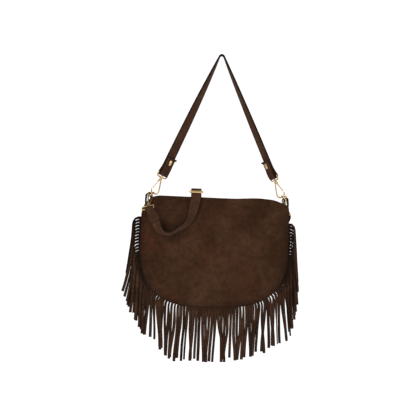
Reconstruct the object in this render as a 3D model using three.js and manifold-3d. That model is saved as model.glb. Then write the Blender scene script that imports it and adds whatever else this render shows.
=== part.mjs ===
// Fringed suede shoulder bag: a flap-shaped body with a zip, a short carrying strap
// and a long shoulder strap, both clipped to rings at the top corners.
// Millimetres. X is to the right, Y to the back, Z up. The origin is where the short
// strap hangs over a peg, at the top of its fold.
import * as THREE from 'three';
import { mergeVertices } from 'three/addons/utils/BufferGeometryUtils.js';
import Module from 'manifold-3d';

// Body
const PANEL_HALF_WIDTH = 142;
const PANEL_TOP = -273;
const PANEL_BOTTOM = -482;
const PANEL_SHOULDER = -352;
const TOP_HALF_WIDTH = 107;
const CORNER_FOOT = -309;
const CORNER_X = 140;
const CORNER_Z = -289;
const PANEL_THICKNESS = 1.6;
const PANEL_CROWN = 5;
const BODY_HALF_DEPTH = 20;
const TOP_HALF_DEPTH = 10;
const ROUNDNESS = 3;
const GUSSET_THICKNESS = 1.6;
const GUSSET_START = -302;
const GUSSET_INSET = 2.5;

// Fringe
const FRINGE_THICKNESS = 1.2;
const SEAM_ALLOWANCE = 6;
const SEAM_GAP = 0.4;

// Zip
const ZIP_HALF_LENGTH = 100;
const ZIP_LEVEL = -280;
const TAPE_THICKNESS = 1;
const TAPE_EDGE = 0.8;
const TEETH_WIDTH = 1.8;
const TEETH_HEIGHT = 1.6;
const ZIP_SLIDER_X = 88;
const PULL_LENGTH = 22;
const PULL_WIDTH = 7;

// Straps
const STRAP_WIDTH = 19.6;
const SHORT_STRAP_THICKNESS = 3.2;
const LONG_STRAP_THICKNESS = 2.6;
const PEG_RADIUS = 3;
const LEG_LENGTH = 259;
const LEG_LEAN = 0.42;
const FLAP_LENGTH = 33;
const FLAP_FLARE = 5;
const RIVET_UP = 23.5;

// Metal fittings
const WIRE = 1.3;
const HOOK_LENGTH = 34;
const HOOK_HALF_WIDTH = 7;
const EYE_HEIGHT = 9.8;
const EYE_HALF_WIDTH = 11.6;
const RING_WIRE = 1.4;
const RING_DEPTH = 12;
const RING_HALF_WIDTH = 11.2;
const RING_BAR_X = 131.2;
const RING_BAR_Z = -272.9;
const RING_LIFT = 0.75;
const RING_GAP = 1.2;
const HOOK_DROP = 2.2;
const TAB_THICKNESS = 2.2;
const TAB_WIDTH = 13;
const GLIDE_HALF_WIDTH = 12.3;
const GAP = 0.3;
const WRAP_GAP = 0.5;

const wasm = await Module();
wasm.setup();

const suede = () => new THREE.MeshStandardMaterial({ color: 0x3c261c, roughness: 0.95 });
const strapSuede = () => new THREE.MeshStandardMaterial({ color: 0x4e3228, roughness: 0.95 });
const tape = () => new THREE.MeshStandardMaterial({ color: 0x2a1c15, roughness: 0.9 });
const gold = () => new THREE.MeshStandardMaterial({ color: 0xd9b877, roughness: 0.25, metalness: 1 });

const bag = new THREE.Group();
const vector = (x, y, z) => new THREE.Vector3(x, y, z);
const BACK = vector(0, 1, 0);

function add(name, geometry, material, parent = bag) {
  const mesh = new THREE.Mesh(geometry, material);
  mesh.name = name;
  parent.add(mesh);
  return mesh;
}

// Solids for the cuts and joins.
function solid(geometry) {
  const bare = new THREE.BufferGeometry();
  bare.setAttribute('position', geometry.getAttribute('position'));
  if (geometry.index) bare.setIndex(geometry.index);
  const merged = mergeVertices(bare, 1e-3);
  const vertProperties = new Float32Array(merged.getAttribute('position').array);
  const triVerts = new Uint32Array(merged.index.array);
  return new wasm.Manifold(new wasm.Mesh({ numProp: 3, vertProperties, triVerts }));
}

function geometryOf(manifold) {
  const mesh = manifold.getMesh();
  const geometry = new THREE.BufferGeometry();
  geometry.setAttribute('position', new THREE.BufferAttribute(mesh.vertProperties, 3));
  geometry.setIndex(new THREE.BufferAttribute(mesh.triVerts, 1));
  return geometry;
}

// A closed strip of leather: a box bent along frames of {at, across}, one for each step.
// The thickness points along travel x across.
function strip(frames, thickness, widthOf) {
  const steps = frames.length - 1;
  const geometry = new THREE.BoxGeometry(1, 1, 1, 1, 1, steps);
  const position = geometry.getAttribute('position');
  for (let i = 0; i < position.count; i += 1) {
    const step = Math.round((position.getZ(i) + 0.5) * steps);
    const frame = frames[step];
    const before = frames[Math.max(step - 1, 0)].at;
    const after = frames[Math.min(step + 1, steps)].at;
    const travel = after.clone().sub(before).normalize();
    const normal = travel.clone().cross(frame.across).normalize();
    const across = normal.clone().cross(travel).normalize();
    const place = frame.at.clone();
    place.addScaledVector(across, position.getX(i) * widthOf(step / steps));
    place.addScaledVector(normal, position.getY(i) * thickness);
    position.setXYZ(i, place.x, place.y, place.z);
  }
  return geometry;
}

// A closed wire: a torus bent along a closed flat path, which lies in the XZ plane.
function closedWire(path, radius, sides, steps) {
  const geometry = new THREE.TorusGeometry(10, radius, sides, steps);
  const position = geometry.getAttribute('position');
  for (let i = 0; i < position.count; i += 1) {
    const turn = Math.atan2(position.getY(i), position.getX(i)) / (2 * Math.PI);
    const along = (Math.round(turn * steps) / steps + 1) % 1;
    const out = Math.hypot(position.getX(i), position.getY(i)) - 10;
    const at = path.getPointAt(along);
    const heading = path.getTangentAt(along);
    position.setXYZ(i, at.x + heading.y * out, -position.getZ(i), at.y - heading.x * out);
  }
  return geometry;
}

// An open wire with flat ends along points of the XZ plane.
function openWire(points, radius, sides, steps) {
  const curve = new THREE.CatmullRomCurve3(points.map(([x, z]) => vector(x, 0, z)));
  const section = new THREE.Shape().absarc(0, 0, radius, 0, 2 * Math.PI);
  const options = { steps, extrudePath: curve, curveSegments: sides / 2, bevelEnabled: false };
  return new THREE.ExtrudeGeometry(section, options);
}

function box(width, depth, height, x, y, z) {
  return new THREE.BoxGeometry(width, depth, height).translate(x, y, z);
}

// Half of the body's depth at a height: full below, narrow at the zip.
function halfDepth(z) {
  const up = THREE.MathUtils.smoothstep(z, PANEL_SHOULDER, PANEL_TOP);
  return BODY_HALF_DEPTH + (TOP_HALF_DEPTH - BODY_HALF_DEPTH) * up;
}

// The outline of both panels: straight top, cut corners, straight sides, rounded bottom.
function panelOutline() {
  const shape = new THREE.Path();
  shape.moveTo(0, PANEL_TOP);
  shape.lineTo(TOP_HALF_WIDTH, PANEL_TOP);
  const shoulderX = TOP_HALF_WIDTH + 20;
  shape.bezierCurveTo(shoulderX, PANEL_TOP - 1, CORNER_X, CORNER_Z, PANEL_HALF_WIDTH, CORNER_FOOT);
  shape.lineTo(PANEL_HALF_WIDTH, PANEL_SHOULDER);
  const lower = [];
  for (let i = 1; i < 24; i += 1) {
    const angle = (i / 24) * Math.PI;
    const across = Math.cos(angle);
    const x = PANEL_HALF_WIDTH * Math.sign(across) * Math.abs(across) ** (2 / ROUNDNESS);
    const drop = (PANEL_SHOULDER - PANEL_BOTTOM) * Math.sin(angle) ** (2 / ROUNDNESS);
    lower.push(new THREE.Vector2(x, PANEL_SHOULDER - drop));
  }
  shape.splineThru([...lower, new THREE.Vector2(-PANEL_HALF_WIDTH, PANEL_SHOULDER)]);
  shape.lineTo(-PANEL_HALF_WIDTH, CORNER_FOOT);
  shape.bezierCurveTo(-CORNER_X, CORNER_Z, -shoulderX, PANEL_TOP - 1, -TOP_HALF_WIDTH, PANEL_TOP);
  shape.lineTo(0, PANEL_TOP);
  return shape;
}
const outline = panelOutline();

// A crowned panel: a sphere's two halves pressed into its outer and inner faces.
function panel() {
  const geometry = new THREE.SphereGeometry(1, 44, 10);
  const position = geometry.getAttribute('position');
  const uv = geometry.getAttribute('uv');
  const middle = new THREE.Vector2(0, PANEL_SHOULDER);
  for (let i = 0; i < position.count; i += 1) {
    const polar = (1 - uv.getY(i)) * Math.PI;
    const reach = Math.sin(polar);
    const rim = Math.abs(reach - 1) < 1e-6;
    const edge = outline.getPointAt(THREE.MathUtils.clamp(1 - uv.getX(i), 0, 1));
    const at = middle.clone().lerp(edge, reach);
    const crown = PANEL_CROWN * (1 - reach ** 4);
    const seam = halfDepth(at.y) + SEAM_GAP + FRINGE_THICKNESS / 2 + GAP + PANEL_THICKNESS / 2;
    const skin = rim ? 0 : (Math.sign(Math.cos(polar)) * PANEL_THICKNESS) / 2;
    position.setXYZ(i, at.x, -(seam + crown + skin), at.y);
  }
  return geometry;
}
add('front_panel', panel(), suede());
add('back_panel', panel().rotateZ(Math.PI), suede());

// The gusset runs down one side, round the bottom and up the other side.
function gusset() {
  const frames = [];
  const steps = 56;
  const points = outline.getSpacedPoints(400).filter((p) => p.y < GUSSET_START);
  for (let i = 0; i <= steps; i += 1) {
    const index = Math.round((i / steps) * (points.length - 1));
    const before = points[Math.max(index - 1, 0)];
    const after = points[Math.min(index + 1, points.length - 1)];
    const inward = new THREE.Vector2(after.y - before.y, before.x - after.x).normalize();
    const at = points[index].clone().addScaledVector(inward, GUSSET_THICKNESS);
    frames.push({ at: vector(at.x, 0, at.y), across: BACK });
  }
  const width = (t) => 2 * (halfDepth(frames[Math.round(t * steps)].at.z) - GUSSET_INSET);
  return strip(frames, GUSSET_THICKNESS, width);
}
add('gusset', gusset(), suede());

// The fringe: one cut sheet, sewn in the front seam. Its strands hang past the panel.
const FRINGE_LEFT = [
  [-146, -313], [-156, -318], [-159, -378], [-166, -419], [-172.6, -462], [-164, -486],
  [-149, -517], [-130, -537], [-101, -563], [-78, -586], [-11, -584],
];
const FRINGE_RIGHT = [
  [27, -581], [55, -575], [83, -573], [99, -564], [117, -554], [141, -545], [159, -525],
  [159, -433], [154, -369], [151, -325], [146, -318],
];
function fringe() {
  const inner = outline.getSpacedPoints(150).filter((p) => p.y < -312);
  const held = inner.map((p) => {
    const toward = new THREE.Vector2(-p.x, PANEL_SHOULDER - p.y).normalize();
    return p.clone().addScaledVector(toward, SEAM_ALLOWANCE);
  });
  const drop = [...FRINGE_LEFT, ...FRINGE_RIGHT].map(([x, z]) => new THREE.Vector2(x, z));
  const shape = new THREE.Shape([...drop, ...held]);
  const geometry = new THREE.ExtrudeGeometry(shape, { depth: FRINGE_THICKNESS, bevelEnabled: false });
  const position = geometry.getAttribute('position');
  for (let i = 0; i < position.count; i += 1) {
    const z = position.getY(i);
    const y = -halfDepth(z) - position.getZ(i) + FRINGE_THICKNESS / 2;
    position.setXYZ(i, position.getX(i), y, z);
  }
  return geometry;
}
add('fringe', fringe(), suede());

// Zip: two tapes, two rows of teeth, and a slider with its pull.
const panelInside = TOP_HALF_DEPTH + SEAM_GAP + FRINGE_THICKNESS / 2;
for (const [name, side] of [['front', -1], ['back', 1]]) {
  const tapeWidth = panelInside - TAPE_EDGE;
  const tapeMiddle = side * (TAPE_EDGE + tapeWidth / 2);
  const teethMiddle = side * (TAPE_EDGE + TEETH_WIDTH / 2);
  const teethLevel = ZIP_LEVEL + TAPE_THICKNESS / 2 + GAP + TEETH_HEIGHT / 2;
  const tapeBox = box(2 * ZIP_HALF_LENGTH + 8, tapeWidth, TAPE_THICKNESS, 0, tapeMiddle, ZIP_LEVEL);
  add(`zip_tape_${name}`, tapeBox, tape());
  const row = box(2 * ZIP_HALF_LENGTH, TEETH_WIDTH, TEETH_HEIGHT, 0, teethMiddle, teethLevel);
  add(`zip_teeth_${name}`, row, gold());
}

const PLATE = 1.3;
const plateLow = ZIP_LEVEL + TAPE_THICKNESS / 2 + 2 * GAP + TEETH_HEIGHT;
function zipSlider() {
  const x = ZIP_SLIDER_X;
  const under = ZIP_LEVEL - TAPE_THICKNESS / 2 - GAP - PLATE / 2;
  const height = plateLow + PLATE - under;
  const upper = solid(box(10, 8, PLATE, x, 0, plateLow + PLATE / 2));
  const lower = solid(box(10, 8, PLATE, x, 0, under));
  const blade = solid(box(6, 0.8, height, x, 0, under + height / 2 - GAP));
  const top = plateLow + PLATE - GAP;
  const archPoints = [
    [x - 3.2, top], [x - 2.8, top + 3], [x, top + 4.2], [x + 2.8, top + 3], [x + 3.2, top],
  ];
  const arch = openWire(archPoints, 0.7, 8, 10);
  return geometryOf(upper.add(lower).add(blade).add(solid(arch)));
}
add('zip_slider', zipSlider(), gold());

function zipPull() {
  const level = plateLow + PLATE + GAP + 0.2;
  const plate = new THREE.Shape();
  plate.moveTo(4, -2.6);
  plate.lineTo(-6, -2.6);
  plate.lineTo(2 - PULL_LENGTH, -PULL_WIDTH / 2);
  plate.absarc(2 - PULL_LENGTH, 0, PULL_WIDTH / 2, -Math.PI / 2, Math.PI / 2, true);
  plate.lineTo(-6, 2.6);
  plate.lineTo(4, 2.6);
  const slotCorners = [[-5, -1.4], [2.4, -1.4], [2.4, 1.4], [-5, 1.4]];
  plate.holes.push(new THREE.Path(slotCorners.map(([x, y]) => new THREE.Vector2(x, y))));
  const options = { depth: 1.2, bevelEnabled: false, curveSegments: 8 };
  return new THREE.ExtrudeGeometry(plate, options).translate(ZIP_SLIDER_X - 2, 0, level);
}
add('zip_pull', zipPull(), gold());

// A path through stations of {at, across}, as frames for a strip.
function framesThrough(stations, stepsEach) {
  const places = new THREE.CatmullRomCurve3(stations.map((station) => station.at));
  const widths = new THREE.CatmullRomCurve3(stations.map((station) => station.across));
  const steps = (stations.length - 1) * stepsEach;
  const frames = [];
  for (let i = 0; i <= steps; i += 1) {
    frames.push({ at: places.getPoint(i / steps), across: widths.getPoint(i / steps).normalize() });
  }
  return frames;
}

// Half a turn round a bar, from the side given, past the far side from the strap's pull.
function halfTurn(bar, side, pull, across, radius) {
  const stations = [];
  for (let i = 0; i <= 6; i += 1) {
    const angle = (i / 6) * Math.PI;
    const at = bar.clone().addScaledVector(side, radius * Math.cos(angle));
    at.addScaledVector(pull, -radius * Math.sin(angle));
    stations.push({ at, across });
  }
  return stations;
}

const mix = (origin, ...terms) => {
  const point = origin.clone();
  for (const [direction, distance] of terms) point.addScaledVector(direction, distance);
  return point;
};

// The short strap: one strip, over the peg, with each end looped round an eye's bar and
// riveted back on itself. It turns from edge-on at the peg towards the front at the eyes.
const LEGS = {
  left: { sign: -1, turn: THREE.MathUtils.degToRad(37) },
  right: { sign: 1, turn: THREE.MathUtils.degToRad(56) },
};
const foldRadius = PEG_RADIUS + SHORT_STRAP_THICKNESS / 2;
const shortWrap = WIRE + WRAP_GAP + SHORT_STRAP_THICKNESS / 2;
for (const leg of Object.values(LEGS)) {
  const { sign } = leg;
  leg.down = vector(sign * Math.sin(LEG_LEAN), 0, -Math.cos(LEG_LEAN));
  leg.out = vector(sign * Math.cos(LEG_LEAN), 0, Math.sin(LEG_LEAN));
  leg.top = vector(0, 0, -PEG_RADIUS).addScaledVector(leg.out, foldRadius);
  leg.swivel = mix(leg.top, [leg.down, LEG_LENGTH]);
  leg.bar = mix(leg.swivel, [leg.down, -EYE_HEIGHT]);
  leg.acrossAt = (turn) => mix(vector(0, 0, 0), [leg.out, Math.cos(turn)], [BACK, -Math.sin(turn)]);
  leg.across = leg.acrossAt(leg.turn);
  leg.face = mix(vector(0, 0, 0), [leg.out, -Math.sin(leg.turn)], [BACK, -Math.cos(leg.turn)]);
}

function shortStrapLeg(leg) {
  const { bar, across, face, down } = leg;
  const layer = SHORT_STRAP_THICKNESS + GAP;
  const flap = (up, lift) => ({ at: mix(bar, [down, -up], [face, lift]), across });
  const stations = [
    flap(FLAP_LENGTH, layer + 2.6), flap(RIVET_UP + 6, layer + 0.1), flap(RIVET_UP, layer),
    flap(RIVET_UP - 6, layer), flap(9, layer + 0.6),
    ...halfTurn(bar, face, mix(vector(0, 0, 0), [down, -1]), across, shortWrap),
    flap(9, -1.5), flap(RIVET_UP - 6, -0.2), flap(RIVET_UP, 0),
  ];
  const length = LEG_LENGTH - EYE_HEIGHT;
  for (let i = 1; i <= 9; i += 1) {
    const up = RIVET_UP + (i / 10) * (length - RIVET_UP);
    const turn = leg.turn + (Math.PI / 2 - leg.turn) * (up / length) ** 2;
    stations.push({ at: mix(bar, [down, -up]), across: leg.acrossAt(turn) });
  }
  return stations;
}

function shortStrap() {
  const stations = shortStrapLeg(LEGS.left);
  const across = BACK.clone().negate();
  for (let i = 0; i <= 6; i += 1) {
    const angle = Math.PI - LEG_LEAN - (i / 6) * (Math.PI - 2 * LEG_LEAN);
    const at = vector(foldRadius * Math.cos(angle), 0, foldRadius * Math.sin(angle) - PEG_RADIUS);
    stations.push({ at, across });
  }
  stations.push(...shortStrapLeg(LEGS.right).reverse());
  const ends = 8 / (2 * LEG_LENGTH);
  const width = (t) => STRAP_WIDTH + FLAP_FLARE * Math.max(0, 1 - Math.min(t, 1 - t) / ends);
  let strap = solid(strip(framesThrough(stations, 2), SHORT_STRAP_THICKNESS, width));
  for (const leg of Object.values(LEGS)) {
    strap = strap.subtract(solid(rivetPlace(leg, new THREE.CylinderGeometry(1.7, 1.7, 30, 12))));
  }
  return geometryOf(strap);
}

// The rivet's own Y axis lies along the strap's face, its Z axis along the strap.
function rivetPlace(leg, geometry) {
  const across = leg.across.clone();
  const basis = new THREE.Matrix4().makeBasis(across, leg.face, across.clone().cross(leg.face));
  basis.setPosition(mix(leg.bar, [leg.down, -RIVET_UP], [leg.face, SHORT_STRAP_THICKNESS / 2]));
  return geometry.applyMatrix4(basis);
}

function rivet(leg) {
  const stack = SHORT_STRAP_THICKNESS + GAP;
  const pill = new THREE.Shape();
  pill.absarc(0, 3, 2.5, 0, Math.PI);
  pill.absarc(0, -3, 2.5, Math.PI, 2 * Math.PI);
  const edge = { bevelEnabled: true, bevelThickness: 0.5, bevelSize: 0.5, bevelSegments: 1 };
  const head = new THREE.ExtrudeGeometry(pill, { depth: 1.4, curveSegments: 6, ...edge });
  head.rotateX(-Math.PI / 2).translate(0, stack + 1.1, 0);
  const length = 2 * stack + 2.2;
  const shank = new THREE.CylinderGeometry(1.35, 1.35, length, 12).translate(0, 0.3, 0);
  const washer = new THREE.CylinderGeometry(3, 3, 1, 14).translate(0, -stack - 0.7, 0);
  const [top, middle, foot] = [head, shank, washer].map((piece) => solid(rivetPlace(leg, piece)));
  return geometryOf(top.add(middle).add(foot));
}

add('short_strap', shortStrap(), strapSuede());
add('strap_rivet_left', rivet(LEGS.left), gold());
add('strap_rivet_right', rivet(LEGS.right), gold());

// Ring tabs: a suede strip folded over each ring's bar, with both ends in the body's corner.
const RINGS = {};
for (const { sign } of Object.values(LEGS)) {
  const side = sign < 0 ? 'left' : 'right';
  const bar = vector(sign * RING_BAR_X, 0, RING_BAR_Z);
  const toward = vector(-sign * Math.cos(RING_LIFT), 0, Math.sin(RING_LIFT));
  RINGS[side] = { bar, toward };
  const radius = RING_WIRE + GAP + TAB_THICKNESS / 2;
  const places = [[136.4, -293], [137.6, -285], [136.4, -278.5]];
  for (let i = 0; i <= 5; i += 1) {
    const angle = -0.2 + (i / 5) * 3.6;
    places.push([RING_BAR_X + radius * Math.cos(angle), RING_BAR_Z + radius * Math.sin(angle)]);
  }
  places.push([125, -281], [121.5, -292]);
  const stations = places.map(([x, z]) => ({ at: vector(sign * x, 0, z), across: BACK }));
  add(`ring_tab_${side}`, strip(framesThrough(stations, 2), TAB_THICKNESS, () => TAB_WIDTH), strapSuede());

  const path = new THREE.Path();
  path.moveTo(0, 0);
  path.lineTo(8.6, 0);
  path.bezierCurveTo(RING_HALF_WIDTH + 1.6, 0, RING_HALF_WIDTH + 1.6, RING_DEPTH - 2, 5, RING_DEPTH - 0.4);
  path.quadraticCurveTo(0, RING_DEPTH + 0.4, -5, RING_DEPTH - 0.4);
  path.bezierCurveTo(-RING_HALF_WIDTH - 1.6, RING_DEPTH - 2, -RING_HALF_WIDTH - 1.6, 0, -8.6, 0);
  path.lineTo(0, 0);
  const ring = add(`ring_${side}`, closedWire(path, RING_WIRE, 8, 26), gold());
  const basis = new THREE.Matrix4().makeBasis(BACK, toward.clone().cross(BACK), toward);
  ring.quaternion.setFromRotationMatrix(basis);
  ring.position.copy(bar);
}

// Hooks. In a hook's own frame Z points from the wire loop to the eye, X to the gate's side,
// and the origin is at the swivel.
function lathe(profile, sides) {
  const points = profile.map(([radius, z]) => new THREE.Vector2(radius, z));
  return new THREE.LatheGeometry(points, sides).rotateX(Math.PI / 2);
}

function cylinderAlongY(radius, length, x, z, sides) {
  return new THREE.CylinderGeometry(radius, radius, length, sides).translate(x, 0, z);
}

const PIVOT_X = 1.9;
const PIVOT_Z = -5.8;
function hookFrame() {
  const end = WIRE - HOOK_LENGTH;
  const wide = HOOK_HALF_WIDTH;
  const points = [
    [-1.4, -2.4], [-3.8, -11], [-6.2, -21], [-wide, -26.5], [-5.2, end + 1.4], [0, end],
    [5.2, end + 1.4], [wide, -27.2], [6.9, -25.4],
  ];
  const profile = [
    [0, -3.5], [2.2, -3.2], [3.1, -2.2], [3.1, -0.9], [2.5, -0.3], [1.2, -0.3], [1.2, 3.5],
    [2.1, 3.6], [2.1, 4.2], [0, 4.5],
  ];
  let frame = solid(lathe(profile, 14)).add(solid(openWire(points, WIRE, 8, 20)));
  for (const y of [-1.75, 1.75]) frame = frame.add(solid(box(3.8, 1.1, 6, 1.9, y, -4.9)));
  return geometryOf(frame.subtract(solid(cylinderAlongY(1.05, 8, PIVOT_X, PIVOT_Z, 12))));
}

function hookGate() {
  const tip = new THREE.Vector2(6.6, -23.9);
  const pivot = new THREE.Vector2(PIVOT_X, PIVOT_Z);
  const along = tip.clone().sub(pivot);
  const shape = new THREE.Shape();
  shape.absarc(0, 0, 1.8, Math.PI * 0.2, Math.PI * 1.8);
  shape.lineTo(along.length() - 0.9, -1.1);
  shape.absarc(along.length() - 0.9, 0, 1.1, -Math.PI / 2, Math.PI / 2);
  shape.holes.push(new THREE.Path().absarc(0, 0, 1.05, 0, 2 * Math.PI));
  const options = { depth: 1.7, bevelEnabled: false, curveSegments: 8 };
  const geometry = new THREE.ExtrudeGeometry(shape, options).translate(0, 0, -0.85);
  geometry.rotateX(Math.PI / 2).rotateY(-along.angle());
  return geometry.translate(pivot.x, 0, pivot.y);
}

function hookEye() {
  const wide = EYE_HALF_WIDTH;
  const path = new THREE.Path();
  path.moveTo(0, 1.6);
  path.lineTo(2, 1.6);
  path.bezierCurveTo(8, 1.6, wide, 1.8, wide, 5);
  path.lineTo(wide, EYE_HEIGHT - 1.8);
  path.quadraticCurveTo(wide, EYE_HEIGHT, wide - 1.8, EYE_HEIGHT);
  path.lineTo(1.8 - wide, EYE_HEIGHT);
  path.quadraticCurveTo(-wide, EYE_HEIGHT, -wide, EYE_HEIGHT - 1.8);
  path.lineTo(-wide, 5);
  path.bezierCurveTo(-wide, 1.8, -8, 1.6, -2, 1.6);
  path.lineTo(0, 1.6);
  const boss = new THREE.CylinderGeometry(3.1, 3.1, 3.2, 12).rotateX(Math.PI / 2).translate(0, 0, 1.6);
  const hole = new THREE.CylinderGeometry(1.55, 1.55, 8, 14).rotateX(Math.PI / 2);
  const eye = solid(closedWire(path, WIRE, 8, 28)).add(solid(boss)).subtract(solid(hole));
  return geometryOf(eye);
}

function addHook(name, place, up, gateSide, barSide) {
  const hook = new THREE.Group();
  const across = mix(gateSide, [up, -gateSide.dot(up)]).normalize();
  const basis = new THREE.Matrix4().makeBasis(across, up.clone().cross(across), up);
  hook.quaternion.setFromRotationMatrix(basis);
  hook.position.copy(place);
  bag.add(hook);
  add(`hook_${name}_frame`, hookFrame(), gold(), hook);
  add(`hook_${name}_gate`, hookGate(), gold(), hook);
  add(`hook_${name}_gate_pin`, cylinderAlongY(0.7, 5, PIVOT_X, PIVOT_Z, 12), gold(), hook);
  const eye = add(`hook_${name}_eye`, hookEye(), gold());
  const eyeBasis = new THREE.Matrix4().makeBasis(barSide, up.clone().cross(barSide), up);
  eye.quaternion.setFromRotationMatrix(eyeBasis);
  eye.position.copy(place);
}

for (const [side, leg] of Object.entries(LEGS)) {
  addHook(`short_${side}`, leg.swivel, mix(vector(0, 0, 0), [leg.down, -1]), leg.out, leg.across);
}

// The long strap's hooks hang from the rings: the left one in front, the right one behind.
const HANG = vector(0.1, 0.7, -0.707).normalize();
const LONG_HOOKS = {};
for (const [side, ring] of Object.entries(RINGS)) {
  const { sign } = LEGS[side];
  const hang = vector(sign * HANG.x, sign * HANG.y, HANG.z);
  const held = mix(ring.bar, [ring.toward, RING_DEPTH / 2 - HOOK_DROP], [BACK, sign * RING_HALF_WIDTH]);
  const reach = HOOK_LENGTH - WIRE - (WIRE + RING_WIRE + RING_GAP);
  const swivel = mix(held, [hang, reach]);
  const loopNormal = mix(ring.toward, [hang, -ring.toward.dot(hang)]).normalize();
  const gateSide = loopNormal.clone().cross(hang);
  const across = vector(0.95, -0.4, 0.15 * -sign);
  across.addScaledVector(hang, -across.dot(hang)).normalize();
  LONG_HOOKS[side] = { hang, across, bar: mix(swivel, [hang, EYE_HEIGHT]) };
  addHook(`long_${side}`, swivel, hang, gateSide, across);
}

// The long strap: from the left eye in a bow across the front, up through the glide on the
// top edge, over the zip, down and round behind the body, round the right eye's bar and back
// beside itself to the glide's middle bar.
const GLIDE = vector(-38.6, -12, -263);
const longWrap = WIRE + WRAP_GAP + LONG_STRAP_THICKNESS / 2;
const longLayer = LONG_STRAP_THICKNESS + GAP;
const station = (x, y, z, across) => ({ at: vector(x, y, z), across: vector(...across).normalize() });

function longStrap() {
  const { left, right } = LONG_HOOKS;
  const leftFace = left.across.clone().cross(left.hang).normalize();
  const leftAt = (along, lift) => ({
    at: mix(left.bar, [left.hang, along], [leftFace, lift]),
    across: left.across,
  });
  const stations = [
    station(-117.5, -34.2, -317.5, [0.9, -0.25, 0.3]),
    leftAt(9, longWrap),
    ...halfTurn(left.bar, leftFace, left.hang, left.across, longWrap),
    leftAt(8, -longWrap),
    station(-118.5, -38, -319, [0.9, -0.25, 0.3]),
    station(-110, -37, -331, [0.75, -0.5, 0.35]),
    station(-99, -37, -341, [0.5, -0.8, 0.3]),
    station(-86, -38.5, -345.5, [0.15, -1, 0.1]),
    station(-70, -38, -337, [-0.15, -1, 0.35]),
    station(-55, -34, -320, [-0.5, -0.7, 0.35]),
    station(-45, -28, -301, [-0.9, -0.3, 0.3]),
    station(-40, -22, -284, [-1, 0, 0.1]),
    station(-38.8, -18.4, -271, [-1, 0, 0]),
  ];
  const leftward = [-1, 0, 0];
  const over = longWrap + longLayer;
  for (let i = 0; i <= 4; i += 1) {
    const angle = Math.PI * (1 - i / 4);
    const y = GLIDE.y + over * Math.cos(angle);
    stations.push(station(GLIDE.x, y, GLIDE.z + over * Math.sin(angle), leftward));
  }
  stations.push(station(GLIDE.x, -2.6, -265.6, leftward));
  const behind = [
    station(-38.6, 4, -266.4, [-1, 0, 0]),
    station(-38.6, 12, -267.2, [-1, 0, 0]),
    station(-38.4, 20.5, -273, [-1, 0, 0]),
    station(-37.5, 26, -292, [-1, 0, 0]),
    station(-34, 34.5, -335, [-0.95, -0.3, 0]),
    station(-22, 39.5, -385, [-0.6, -0.8, 0]),
    station(8, 40.5, -424, [-0.2, -1, 0]),
    station(45, 40.5, -437, [0, -1, 0]),
    station(82, 40.5, -418, [0.2, -1, 0]),
    station(108, 39.5, -375, [0.6, -0.8, 0]),
    station(121, 37, -335, [0.95, -0.3, 0]),
  ];
  const rightFace = right.hang.clone().cross(right.across).normalize();
  const pass = new THREE.CatmullRomCurve3(behind.map(({ at }) => at));
  const beside = behind.map(({ at, across }, i) => {
    const travel = pass.getTangent(i / (behind.length - 1));
    return { at: mix(at, [across.clone().cross(travel).normalize(), longLayer]), across };
  });
  const rightAt = (along, lift) => ({
    at: mix(right.bar, [right.hang, along], [rightFace, lift]),
    across: right.across,
  });
  stations.push(...behind, rightAt(12, -longWrap));
  const outer = rightFace.clone().negate();
  stations.push(...halfTurn(right.bar, outer, right.hang, right.across, longWrap));
  stations.push(rightAt(12, longWrap), ...beside.reverse());
  stations.push(station(GLIDE.x, -3, -268.6, leftward), station(GLIDE.x, -8.4, -267, leftward));
  for (let i = 0; i <= 4; i += 1) {
    const angle = -Math.PI / 2 - (i / 4) * 1.25 * Math.PI;
    const y = GLIDE.y + longWrap * Math.cos(angle);
    stations.push(station(GLIDE.x, y, GLIDE.z + longWrap * Math.sin(angle), leftward));
  }
  return strip(framesThrough(stations, 3), LONG_STRAP_THICKNESS, () => STRAP_WIDTH);
}
add('long_strap', longStrap(), strapSuede());

function glide() {
  const wide = GLIDE_HALF_WIDTH;
  const deep = 8.7;
  const path = new THREE.Path();
  path.moveTo(0, -deep);
  path.lineTo(wide - 2, -deep);
  path.quadraticCurveTo(wide, -deep, wide, 2 - deep);
  path.lineTo(wide, deep - 2);
  path.quadraticCurveTo(wide, deep, wide - 2, deep);
  path.lineTo(2 - wide, deep);
  path.quadraticCurveTo(-wide, deep, -wide, deep - 2);
  path.lineTo(-wide, 2 - deep);
  path.quadraticCurveTo(-wide, -deep, 2 - wide, -deep);
  path.lineTo(0, -deep);
  const frame = closedWire(path, WIRE, 8, 28).rotateX(-Math.PI / 2).translate(0, 0, 1);
  const bar = new THREE.CylinderGeometry(WIRE, WIRE, 2 * wide, 8).rotateZ(Math.PI / 2);
  return geometryOf(solid(frame).add(solid(bar)));
}
add('strap_glide', glide(), gold()).position.copy(GLIDE);

export default bag;
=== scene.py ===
# Fringed suede shoulder bag, hanging by its short strap. Metres, +Z up, front at -Y.
import math
import random

import bpy
from mathutils import Matrix, Vector, noise
from mathutils.geometry import interpolate_bezier


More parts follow.
